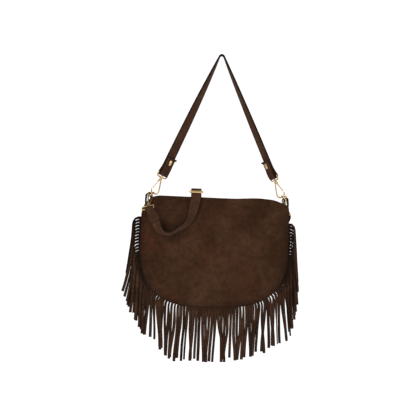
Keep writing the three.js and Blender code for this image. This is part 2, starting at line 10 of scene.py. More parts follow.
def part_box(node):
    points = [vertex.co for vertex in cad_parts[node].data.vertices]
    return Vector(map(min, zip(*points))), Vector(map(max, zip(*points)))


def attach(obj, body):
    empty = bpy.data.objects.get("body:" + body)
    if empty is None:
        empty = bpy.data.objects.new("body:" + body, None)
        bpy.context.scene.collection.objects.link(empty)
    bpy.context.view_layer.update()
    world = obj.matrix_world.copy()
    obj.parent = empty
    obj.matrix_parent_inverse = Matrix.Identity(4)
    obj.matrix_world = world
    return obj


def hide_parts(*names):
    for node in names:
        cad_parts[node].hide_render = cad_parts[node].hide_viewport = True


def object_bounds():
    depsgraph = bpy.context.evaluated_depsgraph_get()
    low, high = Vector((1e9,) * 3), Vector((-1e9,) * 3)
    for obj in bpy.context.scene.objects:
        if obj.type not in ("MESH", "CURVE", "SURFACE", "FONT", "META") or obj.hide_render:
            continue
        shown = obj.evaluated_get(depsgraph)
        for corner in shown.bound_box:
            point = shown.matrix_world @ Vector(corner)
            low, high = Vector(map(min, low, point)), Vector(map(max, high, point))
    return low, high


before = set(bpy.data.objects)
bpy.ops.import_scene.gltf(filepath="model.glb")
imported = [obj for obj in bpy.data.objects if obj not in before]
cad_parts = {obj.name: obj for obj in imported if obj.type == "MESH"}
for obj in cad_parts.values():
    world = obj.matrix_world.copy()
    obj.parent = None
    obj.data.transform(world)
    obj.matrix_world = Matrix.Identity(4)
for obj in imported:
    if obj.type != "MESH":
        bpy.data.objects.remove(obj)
cad_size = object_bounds()

# ---------------------------------------------------------------------------
# Camera, floor and light. The bag hangs straight in front of the camera, turned a
# little clockwise. The floor and the world are plain white, the lamps large and soft.
HANG_TURN = math.radians(1.7)
CAMERA_AWAY = 3.0
VIEW_WIDTH = 0.799
VIEW_CENTRE = Vector((-0.018, 0, -0.2925))
FLOOR_DROP = 0.25

bpy.ops.object.camera_add(
    location=VIEW_CENTRE - Vector((0, CAMERA_AWAY, 0)),
    rotation=(math.pi / 2, -HANG_TURN, 0),
)
camera = bpy.context.object
camera.data.lens = camera.data.sensor_width * CAMERA_AWAY / VIEW_WIDTH
scene = bpy.context.scene
scene.camera = camera
scene.view_settings.view_transform = "Standard"


def new_material(name):
    """A material with an empty node tree but its shader and output."""
    material = bpy.data.materials.new(name)
    material.use_nodes = True
    nodes, links = material.node_tree.nodes, material.node_tree.links
    return material, nodes, links, nodes["Principled BSDF"]


bpy.ops.mesh.primitive_circle_add(
    vertices=96, radius=9, fill_type="NGON", location=(0, 0, cad_size[0].z - FLOOR_DROP)
)
floor = bpy.context.object
floor.name = "studio_floor"
floor_white, _, _, shader = new_material("floor_white")
shader.inputs["Base Color"].default_value = (0.93, 0.93, 0.93, 1)
shader.inputs["Roughness"].default_value = 0.9
shader.inputs["Emission Color"].default_value = (1, 1, 1, 1)
shader.inputs["Emission Strength"].default_value = 0.6
floor.data.materials.append(floor_white)

world = bpy.data.worlds.new("studio_white")
world.use_nodes = True
scene.world = world
seen = world.node_tree.nodes["Background"]
seen.inputs["Color"].default_value = (1, 1, 1, 1)
seen.inputs["Strength"].default_value = 1.1
ambient = world.node_tree.nodes.new("ShaderNodeBackground")
ambient.inputs["Color"].default_value = (0.94, 0.96, 1, 1)
ambient.inputs["Strength"].default_value = 0.5
ray = world.node_tree.nodes.new("ShaderNodeLightPath")
pick = world.node_tree.nodes.new("ShaderNodeMixShader")
world.node_tree.links.new(ray.outputs["Is Camera Ray"], pick.inputs["Fac"])
world.node_tree.links.new(ambient.outputs[0], pick.inputs[1])
world.node_tree.links.new(seen.outputs[0], pick.inputs[2])
world.node_tree.links.new(pick.outputs[0], world.node_tree.nodes["World Output"].inputs[0])


def add_lamp(name, place, size, power):
    """A square area lamp that points at the middle of the bag."""
    bpy.ops.object.light_add(type="AREA", location=place)
    lamp = bpy.context.object
    lamp.name = name
    lamp.data.size = size
    lamp.data.energy = power
    lamp.rotation_euler = (VIEW_CENTRE - lamp.location).to_track_quat("-Z", "Y").to_euler()


add_lamp("key_lamp", (-1.1, -2.0, 0.9), 1.2, 34)
add_lamp("fill_lamp", (1.6, -1.8, 0.2), 1.6, 16)
add_lamp("back_lamp", (0.3, 1.9, 0.8), 1.5, 22)


# ---------------------------------------------------------------------------
# Body panels. Two pieces of thick napped suede, cut alike: a straight top edge, cut-off
# top corners and a rounded bottom. They are sewn to the gusset round the sides and bottom.
PANEL_HALF_WIDTH = 0.142
RIGHT_HALF_WIDTH = 0.1402
PANEL_TOP = -0.273
PANEL_BOTTOM = -0.482
PANEL_SHOULDER = -0.352
TOP_HALF_WIDTH = 0.107
CORNER_FOOT = -0.309
BODY_SHIFT = -0.003
TOP_SLOPE = -0.016
BOTTOM_SLOPE = 0.016
TOP_BUMP_X = 0.080
TOP_BUMP = 0.0028
TOP_BUMP_REACH = 0.030
CHAMFER_END = Vector((0.1362, PANEL_TOP - 0.0085))
PANEL_THICKNESS = 0.0016
PANEL_CROWN = 0.005
RIM_TUCK = 0.0011
BODY_HALF_DEPTH = 0.020
TOP_HALF_DEPTH = 0.010
BOTTOM_ROUNDNESS = 3
SEAM_GAP = 0.0004
FRINGE_THICKNESS = 0.0012
RIM_POINTS = 176
PANEL_RINGS = 26

SUEDE_BROWN = (0.0265, 0.0110, 0.0047, 1)
SUEDE_PALE = (0.0500, 0.0232, 0.0118, 1)
SUEDE_RED = (0.0450, 0.0150, 0.0074, 1)
# The dark that edge layers mix towards: edge paint on straps and tabs, painted shade on the panels and
# fringe.
SUEDE_DARK = (0.0045, 0.0022, 0.0014, 1)


def smooth(low, high, value):
    """0 below low, 1 above high, and an even rise between."""
    share = min(max((value - low) / (high - low), 0), 1)
    return share * share * (3 - 2 * share)


def half_depth(z):
    """Half of the body's depth: full below, narrow at the zip."""
    rise = smooth(PANEL_SHOULDER, PANEL_TOP, z)
    return BODY_HALF_DEPTH + (TOP_HALF_DEPTH - BODY_HALF_DEPTH) * rise


def evenly(points, count):
    """The same line with count points an equal way apart."""
    lengths = [0]
    for before, after in zip(points, points[1:]):
        lengths.append(lengths[-1] + (after - before).length)
    spaced, index = [], 0
    for step in range(count):
        goal = lengths[-1] * step / (count - 1)
        while index < len(points) - 2 and lengths[index + 1] < goal:
            index += 1
        span = max(lengths[index + 1] - lengths[index], 1e-9)
        spaced.append(points[index].lerp(points[index + 1], (goal - lengths[index]) / span))
    return spaced


def panel_outline(count):
    """The panel's edge in (x, z), from the middle of its top to the right and round.

    The right top corner is squarer than the left one, the body hangs slightly askew, and the
    soft top edge stands up a little on the right.
    """
    left_corner = interpolate_bezier(
        Vector((-PANEL_HALF_WIDTH, CORNER_FOOT)), Vector((-0.140, PANEL_TOP - 0.016)),
        Vector((-TOP_HALF_WIDTH - 0.020, PANEL_TOP - 0.001)), Vector((-TOP_HALF_WIDTH, PANEL_TOP)), 24,
    )
    right_corner = interpolate_bezier(
        Vector((TOP_HALF_WIDTH, PANEL_TOP)), Vector((0.117, PANEL_TOP - 0.0004)),
        Vector((0.131, PANEL_TOP - 0.0062)), CHAMFER_END, 16,
    )[:-1] + interpolate_bezier(
        CHAMFER_END, Vector((0.1398, PANEL_TOP - 0.0102)),
        Vector((RIGHT_HALF_WIDTH, PANEL_TOP - 0.0140)), Vector((RIGHT_HALF_WIDTH, PANEL_TOP - 0.0220)), 12,
    )
    bottom = []
    for step in range(1, 96):
        angle = step / 96 * math.pi
        power = 2 / BOTTOM_ROUNDNESS
        reach = math.copysign(abs(math.cos(angle)) ** power, math.cos(angle)) if step != 48 else 0
        x = reach * (RIGHT_HALF_WIDTH if reach > 0 else PANEL_HALF_WIDTH)
        fall = (PANEL_SHOULDER - PANEL_BOTTOM) * math.sin(angle) ** power
        bottom.append(Vector((x, PANEL_SHOULDER - fall)))
    right_side = Vector((RIGHT_HALF_WIDTH, PANEL_SHOULDER))
    left_side = Vector((-PANEL_HALF_WIDTH, PANEL_SHOULDER))
    middle = Vector((0, PANEL_TOP))
    line = [middle, *right_corner, right_side, *bottom, left_side, *left_corner, middle.copy()]
    line = evenly(line, count)
    for point in line:
        drop = (PANEL_TOP - point.y) / (PANEL_TOP - PANEL_BOTTOM)
        bump = TOP_BUMP * math.exp(-((point.x - TOP_BUMP_X) / TOP_BUMP_REACH) ** 2)
        point.y += point.x * (TOP_SLOPE + (BOTTOM_SLOPE - TOP_SLOPE) * drop)
        point.y += bump * max(1 - 9 * drop, 0)
        point.x += BODY_SHIFT
    return line


def suede_group():
    """Napped suede: soft patches where the nap lies another way, rubbed spots and fine nap."""
    group = bpy.data.node_groups.new("suede_nap", "ShaderNodeTree")
    for name, kind in (("Place", "NodeSocketVector"), ("Colour", "NodeSocketColor"),
                       ("Pale", "NodeSocketColor"), ("Red", "NodeSocketColor"),
                       ("Patch size", "NodeSocketFloat")):
        group.interface.new_socket(name, in_out="INPUT", socket_type=kind)
    group.interface.new_socket("Colour", in_out="OUTPUT", socket_type="NodeSocketColor")
    group.interface.new_socket("Height", in_out="OUTPUT", socket_type="NodeSocketFloat")
    nodes, links = group.nodes, group.links
    given = nodes.new("NodeGroupInput")
    made = nodes.new("NodeGroupOutput")

    def cloud(scale, detail, rough, low, high):
        texture = nodes.new("ShaderNodeTexNoise")
        texture.inputs["Scale"].default_value = scale
        texture.inputs["Detail"].default_value = detail
        texture.inputs["Roughness"].default_value = rough
        spread = nodes.new("ShaderNodeMapRange")
        spread.inputs["From Min"].default_value = low
        spread.inputs["From Max"].default_value = high
        links.new(texture.outputs["Fac"], spread.inputs["Value"])
        return texture, spread

    def blend(kind, amount, first, second):
        mix = nodes.new("ShaderNodeMix")
        mix.data_type = "RGBA"
        mix.blend_type = kind
        links.new(amount, mix.inputs["Factor"])
        links.new(first, mix.inputs["A"])
        links.new(second, mix.inputs["B"])
        return mix.outputs["Result"]

    sized = nodes.new("ShaderNodeVectorMath")
    sized.operation = "SCALE"
    links.new(given.outputs["Place"], sized.inputs[0])
    links.new(given.outputs["Patch size"], sized.inputs["Scale"])
    patch, patch_mask = cloud(17, 3.5, 0.62, 0.42, 0.72)
    red, red_mask = cloud(11, 4, 0.66, 0.50, 0.78)
    rubbed, rubbed_mask = cloud(130, 6, 0.78, 0.30, 0.76)
    nap, nap_mask = cloud(1150, 2, 0.5, 0.25, 0.75)
    for texture in (patch, red):
        links.new(sized.outputs[0], texture.inputs["Vector"])
    for texture in (rubbed, nap):
        links.new(given.outputs["Place"], texture.inputs["Vector"])
    colour = blend("MIX", patch_mask.outputs[0], given.outputs["Colour"], given.outputs["Pale"])
    colour = blend("MIX", red_mask.outputs[0], colour, given.outputs["Red"])
    shade = nodes.new("ShaderNodeMath")
    shade.operation = "MULTIPLY_ADD"
    shade.inputs[1].default_value = 0.78
    shade.inputs[2].default_value = 0.60
    links.new(rubbed_mask.outputs[0], shade.inputs[0])
    fine = nodes.new("ShaderNodeMath")
    fine.operation = "MULTIPLY_ADD"
    fine.inputs[1].default_value = 0.42
    fine.inputs[2].default_value = 0.80
    links.new(nap_mask.outputs[0], fine.inputs[0])
    both = nodes.new("ShaderNodeMath")
    both.operation = "MULTIPLY"
    links.new(shade.outputs[0], both.inputs[0])
    links.new(fine.outputs[0], both.inputs[1])
    toned = nodes.new("ShaderNodeVectorMath")
    toned.operation = "SCALE"
    links.new(colour, toned.inputs[0])
    links.new(both.outputs[0], toned.inputs["Scale"])
    links.new(toned.outputs[0], made.inputs["Colour"])
    height = nodes.new("ShaderNodeMath")
    height.operation = "MULTIPLY_ADD"
    height.inputs[1].default_value = 0.35
    links.new(nap_mask.outputs[0], height.inputs[0])
    links.new(rubbed_mask.outputs[0], height.inputs[2])
    links.new(height.outputs[0], made.inputs["Height"])
    return group


SUEDE_NAP = suede_group()


def suede_material(name, colour, pale, red, patch_size, edge_layer=None, edge_from=0.0, edge_to=1.0):
    """Suede with the shared nap, and darker where the piece's own edge layer says so: edge paint on straps
    and tabs, painted shade on the panels and fringe.
    """
    material, nodes, links, shader = new_material(name)
    place = nodes.new("ShaderNodeTexCoord")
    nap = nodes.new("ShaderNodeGroup")
    nap.node_tree = SUEDE_NAP
    nap.inputs["Colour"].default_value = colour
    nap.inputs["Pale"].default_value = pale
    nap.inputs["Red"].default_value = red
    nap.inputs["Patch size"].default_value = patch_size
    links.new(place.outputs["Object"], nap.inputs["Place"])
    tone = nap.outputs["Colour"]
    if edge_layer:
        edge = nodes.new("ShaderNodeAttribute")
        edge.attribute_name = edge_layer
        spread = nodes.new("ShaderNodeMapRange")
        spread.inputs["From Min"].default_value = edge_from
        spread.inputs["From Max"].default_value = edge_to
        links.new(edge.outputs["Fac"], spread.inputs["Value"])
        mix = nodes.new("ShaderNodeMix")
        mix.data_type = "RGBA"
        mix.inputs["B"].default_value = SUEDE_DARK
        links.new(spread.outputs[0], mix.inputs["Factor"])
        links.new(tone, mix.inputs["A"])
        tone = mix.outputs["Result"]
    links.new(tone, shader.inputs["Base Color"])
    bump = nodes.new("ShaderNodeBump")
    bump.inputs["Strength"].default_value = 0.35
    bump.inputs["Distance"].default_value = 0.0006
    links.new(nap.outputs["Height"], bump.inputs["Height"])
    links.new(bump.outputs[0], shader.inputs["Normal"])
    shader.inputs["Roughness"].default_value = 0.95
    shader.inputs["Specular IOR Level"].default_value = 0.05
    shader.inputs["Sheen Weight"].default_value = 0.04
    shader.inputs["Sheen Roughness"].default_value = 0.55
    shader.inputs["Sheen Tint"].default_value = (0.85, 0.62, 0.50, 1)
    return material


def apply_modifiers(piece):
    """Applies the piece's modifiers in their order."""
    bpy.ops.object.select_all(action="DESELECT")
    piece.select_set(True)
    bpy.context.view_layer.objects.active = piece
    for modifier in list(piece.modifiers):
        bpy.ops.object.modifier_apply(modifier=modifier.name)


def thicken(piece, thickness, rounding, even=True):
    """Gives a flat piece its leather thickness, with its cut edges rounded over."""
    solid = piece.modifiers.new("thickness", "SOLIDIFY")
    solid.thickness = thickness
    solid.offset = 0
    solid.use_even_offset = even
    if rounding:
        rounded = piece.modifiers.new("rounding", "BEVEL")
        rounded.width = rounding
        rounded.segments = 2
        rounded.limit_method = "ANGLE"
        rounded.angle_limit = math.radians(50)
    apply_modifiers(piece)
    bpy.ops.object.shade_smooth_by_angle(angle=math.radians(55))


def finish_piece(piece, name, material, body, slot, *nodes):
    """Names a finished piece, gives it its material, ties it to its body and hides the parts it stands in
    for.
    """
    piece.name = name
    piece.data.name = name
    piece.data.materials.clear()
    piece.data.materials.append(material)
    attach(piece, body)
    if nodes:
        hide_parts(*nodes)
    return piece


OUTLINE = panel_outline(RIM_POINTS + 1)


def panel_sag(x, z):
    """How far the soft panel stands in or out: slow waves, and drag lines from the corners."""
    wave = 0.0016 * noise.noise(Vector((x * 16, 3.1, z * 13)))
    wave += 0.0007 * noise.noise(Vector((x * 42, 8.4, z * 30)))
    for corner in (-1, 1):
        dx, dz = x * corner - 0.118, z + 0.284
        far = math.hypot(dx, dz)
        bearing = math.atan2(-dz, -dx)
        wave += 0.0010 * math.sin(9 * bearing + 1.4 * corner) * math.exp(-far / 0.045)
    return wave


def body_panel(back):
    """A disc of rings, pressed out to the panel's outline, crowned and sagging."""
    bpy.ops.object.select_all(action="DESELECT")
    bpy.ops.mesh.primitive_circle_add(vertices=RIM_POINTS, radius=1, fill_type="NGON")
    panel = bpy.context.object
    bpy.ops.object.mode_set(mode="EDIT")
    bpy.ops.mesh.select_all(action="SELECT")
    for ring in range(PANEL_RINGS):
        bpy.ops.mesh.inset(thickness=0.012 if ring < 3 else 0.96 / PANEL_RINGS)
    bpy.ops.mesh.poke()
    bpy.ops.object.mode_set(mode="OBJECT")
    middle = Vector((0, PANEL_SHOULDER))
    facing = -1 if back else 1
    shares = []
    for vertex in panel.data.vertices:
        reach = min(math.hypot(vertex.co.x, vertex.co.y), 1)
        turn = math.atan2(vertex.co.y, vertex.co.x) / (2 * math.pi) % 1
        along = turn * RIM_POINTS
        first = int(along) % RIM_POINTS
        edge = OUTLINE[first].lerp(OUTLINE[first + 1], along - int(along))
        at = middle.lerp(edge, reach)
        crown = PANEL_CROWN * (1 - reach ** 4)
        seam = half_depth(at.y) + SEAM_GAP + FRINGE_THICKNESS / 2 + PANEL_THICKNESS / 2
        sag = panel_sag(at.x + 0.4 * back, at.y) * (1 - reach ** 6)
        tuck = RIM_TUCK * smooth(0.975, 1.0, reach)
        vertex.co = Vector((at.x, -(seam + crown + sag - tuck) * facing, at.y))
        # Painted shade: the rim layer darkens the suede towards the seams, where shade falls, and darkens
        # it less along the top edge, a painted highlight where the turned edge catches the light.
        shares.append(reach * (1 - 0.3 * smooth(-0.302, -0.282, at.y)))
    if not back:
        bpy.ops.object.mode_set(mode="EDIT")
        bpy.ops.mesh.select_all(action="SELECT")
        bpy.ops.mesh.flip_normals()
        bpy.ops.object.mode_set(mode="OBJECT")
    stored = panel.data.attributes.new("rim", "FLOAT", "POINT")
    stored.data.foreach_set("value", shares)
    thicken(panel, PANEL_THICKNESS, 0.0005)
    return panel


# The rim layer mixes the panels towards dark: painted shade near the seams, and a painted highlight along
# the top edge, which it darkens less.
body_suede = suede_material(
    "body_suede_brown", SUEDE_BROWN, SUEDE_PALE, SUEDE_RED, 1.0, "rim", 0.90, 1.12
)
front_suede = finish_piece(body_panel(False), "front_suede", body_suede, "bag", "body_suede", "front_panel")
back_suede = finish_piece(body_panel(True), "back_suede", body_suede, "bag", "body_suede", "back_panel")

# ---------------------------------------------------------------------------
# Gusset. One long strip of the same suede, sewn between the panels from one end of the
# zip down the side, round the bottom and up to the other end. It sinks in between seams.
GUSSET_THICKNESS = 0.0016
GUSSET_SINK = 0.0045
GUSSET_STEPS = 200
GUSSET_CUTS = 12
GUSSET_INSET = 0.0012
GUSSET_END_X = 0.1045
round_body = panel_outline(1201)
gusset_line = [p for p in round_body if abs(p.x - BODY_SHIFT) > GUSSET_END_X or p.y < CORNER_FOOT]
gusset_line = evenly(gusset_line, GUSSET_STEPS + 1)


def flat_grid(cuts, steps):
    """A flat grid from -1 to 1 both ways, to be laid along a route."""
    bpy.ops.object.select_all(action="DESELECT")
    bpy.ops.mesh.primitive_grid_add(x_subdivisions=cuts, y_subdivisions=steps, size=2)
    return bpy.context.object


gusset = flat_grid(GUSSET_CUTS, GUSSET_STEPS)
for vertex in gusset.data.vertices:
    side = vertex.co.x
    along = (vertex.co.y + 1) / 2 * GUSSET_STEPS
    first = min(int(along), GUSSET_STEPS - 1)
    at = gusset_line[first].lerp(gusset_line[first + 1], along - first)
    heading = (gusset_line[first + 1] - gusset_line[first]).normalized()
    inward = Vector((heading.y, -heading.x))
    sink = GUSSET_INSET + GUSSET_SINK * (1 - abs(side) ** 2.6)
    sink += 0.0012 * noise.noise(Vector((at.x * 45, at.y * 45, side * 1.5)))
    depth = half_depth(at.y) + SEAM_GAP / 2
    vertex.co = Vector((at.x + inward.x * sink, side * depth, at.y + inward.y * sink))
thicken(gusset, GUSSET_THICKNESS, 0.0004)
gusset_suede = suede_material("gusset_suede_brown", SUEDE_BROWN, SUEDE_PALE, SUEDE_RED, 1.3)
finish_piece(gusset, "side_gusset", gusset_suede, "bag", "body_suede", "gusset")

# ---------------------------------------------------------------------------
# Fringe. One strip of suede, sewn in the seam between front panel and gusset and cut into
# strands up to the seam. At the sides the strands arch out and hang down in a bundle.
STRANDS = 90
STRAND_WIDTH = 0.0058
ROOT_WIDTH = 0.0065
STRAND_STEPS = 18
FRINGE_LEFT_TOP = -0.3125
FRINGE_RIGHT_TOP = -0.3175
SEAM_ALLOWANCE = 0.006
ARCH_LIFT = math.radians(12)
SIDE_FROM, SIDE_TO = 0.55, 0.95
TIP_SCATTER = 0.0014
GROUP_SHIFT = 0.011
GROUP_WAVES = 70
STRAY_SHARE = 0.14
TURNED_SHARE = 0.18
ROOT_GAPS = (0.0, 0.0006, 0.0016, 0.0026)
# Painted shade along each strand's edges, standing in for the narrow shadows between strands.
STRAND_EDGE_PAINTED_SHADE = 0.75
# Where strands hang apart: place along X, width at the tips, and how far down it opens.
PARTINGS = [
    (-0.1180, 0.0050, 0.10), (-0.0960, 0.0020, 0.05), (-0.0745, 0.0095, 0.25),
    (-0.0625, 0.0040, 0.15), (-0.0345, 0.0055, 0.20), (-0.0190, 0.0030, 0.30),
    (0.0050, 0.0160, 0.12), (0.0270, 0.0025, 0.35), (0.0350, 0.0050, 0.45),
    (0.0410, 0.0022, 0.40), (0.0500, 0.0030, 0.40), (0.0615, 0.0085, 0.35),
    (0.0790, 0.0030, 0.10), (0.0860, 0.0045, 0.10), (0.0935, 0.0045, 0.05),
    (0.1055, 0.0060, 0.08), (0.1155, 0.0050, 0.05), (0.1240, 0.0060, 0.03),
]
# How far out of the seam the side bundles hang, from the top strand's height down, and how
# far their tips swing out beyond that. The strip was cut a little unevenly along its length.
LEFT_HANG = [(-0.310, 0.0092), (-0.360, 0.0102), (-0.400, 0.0085), (-0.440, 0.0055), (-0.60, 0.0040)]
LEFT_SWING = [
    (-0.310, 0.004), (-0.345, 0.011), (-0.362, 0.015), (-0.385, 0.009), (-0.415, 0.002),
    (-0.60, 0.0),
]
RIGHT_HANG = [(-0.310, 0.0045), (-0.369, 0.0060), (-0.433, 0.0095), (-0.60, 0.0100)]
RIGHT_SWING = [(-0.310, 0.003), (-0.400, 0.004), (-0.440, 0.008), (-0.60, 0.002)]
CUT_LENGTHS = [
    (0.142, 0.111), (0.125, 0.105), (0.100, 0.098), (0.040, 0.101), (-0.030, 0.104), (-0.085, 0.107),
    (-0.100, 0.098), (-0.116, 0.090), (-0.135, 0.097), (-0.146, 0.106),
]


def along_list(pairs, value):
    """Reads a falling list of (key, value) pairs in between."""
    for (high, first), (low, last) in zip(pairs, pairs[1:]):
        if value >= low:
            return first + (last - first) * smooth(0, 1, (high - value) / (high - low))
    return pairs[-1][1]


def strand_route(root, outward, rank, chance):
    """Where one strand runs: out of the seam, over, and down under its own weight."""
    side = -1 if root.x < 0 else 1
    level = smooth(SIDE_FROM, SIDE_TO, abs(outward.x))
    hang = along_list(LEFT_HANG if side < 0 else RIGHT_HANG, root.y)
    reach_out = level * max(hang - 0.0003 * rank, 0.004) + chance.uniform(-0.0012, 0.0012) * level
    length = along_list(CUT_LENGTHS, root.x) * chance.uniform(0.95, 1.025)
    grouped = noise.noise(Vector((root.x * GROUP_WAVES, 5.2, 0)))
    tip_shift = chance.gauss(0, TIP_SCATTER) + GROUP_SHIFT * grouped
    if chance.random() < STRAY_SHARE:
        tip_shift += chance.choice((-1, 1)) * chance.uniform(0.003, 0.008)
    for place, width, _ in PARTINGS:
        away = root.x - place
        tip_shift += math.copysign(width / 2, away) * math.exp(-abs(away) / 0.009)
    opening = min(PARTINGS, key=lambda parting: abs(parting[0] - root.x))[2]
    curl = chance.gauss(0, 0.0012)
    bend_at = chance.uniform(0.3, 0.7)
    heading = math.atan2(outward.y, outward.x) + ARCH_LIFT * level * side
    step = length / STRAND_STEPS
    at = Vector((root.x, root.y))
    line = [at.copy()]
    turn_length = 0.006 + 0.62 * reach_out
    down = -math.pi / 2
    angle = (heading + 1.5 * math.pi) % (2 * math.pi) - 1.5 * math.pi
    for index in range(STRAND_STEPS):
        run = (index + 0.5) * step
        droop = 1 - math.exp(-(run / (turn_length * 1.15)) ** 2.0)
        bearing = angle + (down - angle) * droop
        at = at + Vector((math.cos(bearing), math.sin(bearing))) * step
        line.append(at.copy())
    tip_swing = side * level * along_list(LEFT_SWING if side < 0 else RIGHT_SWING, root.y)
    for index, point in enumerate(line):
        share = index / STRAND_STEPS
        point.x += tip_shift * smooth(opening, 1.0, share) * (1 - 0.6 * level)
        point.x += tip_swing * share ** 2
        point.x += curl * math.sin(math.pi * min(share / bend_at, 1.6)) * share
    return line


def lay_strand(source, root, outward, rank, chance):
    """A copy of the straight strand, laid along its own route and turned as it hangs."""
    strand = source.copy()
    strand.data = source.data.copy()
    scene.collection.objects.link(strand)
    line = strand_route(root, outward, rank, chance)
    level = smooth(SIDE_FROM, SIDE_TO, abs(outward.x))
    depth = -half_depth(root.y)
    swing = chance.uniform(-0.0035, 0.0045) * (0.35 + 0.65 * level)
    root_twist = math.radians(14 + 46 * smooth(-0.392, -0.372, root.y)) * level
    twist = root_twist + chance.uniform(-0.9, 0.35) * level + chance.gauss(0, 0.20)
    if chance.random() < TURNED_SHARE:
        twist += 1.0
    shelf = -0.0016 * (rank % 3) * level
    wide = chance.uniform(0.84, 1.08)
    root_lift = chance.uniform(-0.0005, 0.0005)
    spread = smooth(0.025, 0.070, abs(root.x + 0.010)) * (1 - level)
    root_wide = ROOT_WIDTH - chance.choice(ROOT_GAPS) * spread
    tone = chance.uniform(0, 0.30) + (0.3 if chance.random() < 0.25 else 0)
    painted_shade_and_tone = []
    for vertex in strand.data.vertices:
        share = (vertex.co.y + 1) / 2
        index = min(round(share * STRAND_STEPS), STRAND_STEPS)
        at = line[index]
        travel = (line[min(index + 1, STRAND_STEPS)] - line[max(index - 1, 0)]).normalized()
        flat = Vector((-travel.y, 0, travel.x))
        turned = root_twist * smooth(0.0, 0.08, share) + (twist - root_twist) * smooth(0.12, 0.6, share)
        width = root_wide + (STRAND_WIDTH * wide - root_wide) * smooth(0.02, 0.35, share)
        # The shade layer holds painted shade at the roots, most at the sides where the strands arch out of
        # the seam, and painted shade along each strand's edges for the shadows between strands. Tone is
        # each strand's own random darkness.
        root_painted_shade = (0.40 + 0.52 * level) * (1 - smooth(0.03, 0.12 + 0.08 * level, share))
        painted_shade_and_tone.append(max(root_painted_shade, tone, STRAND_EDGE_PAINTED_SHADE * smooth(0.5, 1.0, abs(vertex.co.x))))
        across = flat * math.cos(turned) + Vector((0, 1, 0)) * math.sin(turned)
        settle = swing * share + (shelf + root_lift) * smooth(0.0, 0.25, share)
        down = max(PANEL_SHOULDER - at.y, 0) * 0.02
        vertex.co = Vector((at.x, depth + settle - down, at.y)) + across * vertex.co.x * width / 2
    stored = strand.data.attributes.new("shade", "FLOAT", "POINT")
    stored.data.foreach_set("value", painted_shade_and_tone)
    return strand


def face_outward():
    """Turns every face of the active piece outward."""
    bpy.ops.object.mode_set(mode="EDIT")
    bpy.ops.mesh.select_all(action="SELECT")
    bpy.ops.mesh.normals_make_consistent(inside=False)
    bpy.ops.object.mode_set(mode="OBJECT")


chance = random.Random(41)
straight_strand = flat_grid(4, STRAND_STEPS)
seam_line = [p for p in panel_outline(2401) if p.y < (FRINGE_LEFT_TOP if p.x < 0 else FRINGE_RIGHT_TOP)]
roots = evenly(seam_line, STRANDS + 1)
strands = []
for number in range(STRANDS):
    root = roots[number].lerp(roots[number + 1], 0.5)
    heading = (roots[number + 1] - roots[number]).normalized()
    outward = Vector((-heading.y, heading.x))
    rank = min(number, STRANDS - 1 - number)
    strands.append(lay_strand(straight_strand, root - outward * 0.0005, outward, rank, chance))

seam_band = flat_grid(2, STRANDS)
for vertex in seam_band.data.vertices:
    at = roots[round((vertex.co.y + 1) / 2 * STRANDS)]
    toward = Vector((-at.x, PANEL_SHOULDER - at.y)).normalized()
    place = at + toward * (SEAM_ALLOWANCE * (vertex.co.x + 1) / 2)
    vertex.co = Vector((place.x, -half_depth(place.y), place.y))
bpy.data.objects.remove(straight_strand)
for strand in strands:
    strand.select_set(True)
bpy.context.view_layer.objects.active = seam_band
bpy.ops.object.join()
fringe = bpy.context.object
face_outward()
thicken(fringe, FRINGE_THICKNESS, 0)
# The fringe mixes towards dark by its shade layer: painted shade at the roots and between strands, and each
# strand's random tone.
fringe_suede = suede_material(
    "fringe_suede_brown", (0.0320, 0.0140, 0.0068, 1), (0.0560, 0.0270, 0.0150, 1),
    (0.0440, 0.0175, 0.0090, 1), 2.2, "shade",
)
finish_piece(fringe, "fringe_strands", fringe_suede, "bag", "body_suede", "fringe")

# ---------------------------------------------------------------------------
# Zip. Two woven tapes with cast metal teeth, closed by a slider that carries a pull. The
# tapes are stitched under the top edges of the panels.
ZIP_LEVEL = -0.280
ZIP_HALF_LENGTH = 0.100
ZIP_PITCH = 0.0025
TAPE_THICKNESS = 0.0010


def woven_material(name, colour):
    """Fine woven tape: ribs across and along, made by two wave patterns."""
    material, nodes, links, shader = new_material(name)
    place = nodes.new("ShaderNodeTexCoord")
    ribs = []
    for direction in ("X", "Y"):
        wave = nodes.new("ShaderNodeTexWave")
        wave.bands_direction = direction
        wave.inputs["Scale"].default_value = 420
        wave.inputs["Distortion"].default_value = 0.4
        links.new(place.outputs["Object"], wave.inputs["Vector"])
        ribs.append(wave.outputs["Fac"])
    woven = nodes.new("ShaderNodeMath")
    woven.operation = "MULTIPLY"
    links.new(ribs[0], woven.inputs[0])
    links.new(ribs[1], woven.inputs[1])
    tone = nodes.new("ShaderNodeMix")
    tone.data_type = "RGBA"
    tone.inputs["A"].default_value = [c * 0.55 for c in colour[:3]] + [1]
    tone.inputs["B"].default_value = colour
    links.new(woven.outputs[0], tone.inputs["Factor"])
    links.new(tone.outputs["Result"], shader.inputs["Base Color"])
    bump = nodes.new("ShaderNodeBump")
    bump.inputs["Strength"].default_value = 0.5
    bump.inputs["Distance"].default_value = 0.0003
    links.new(woven.outputs[0], bump.inputs["Height"])
    links.new(bump.outputs[0], shader.inputs["Normal"])
    shader.inputs["Roughness"].default_value = 0.85
    return material


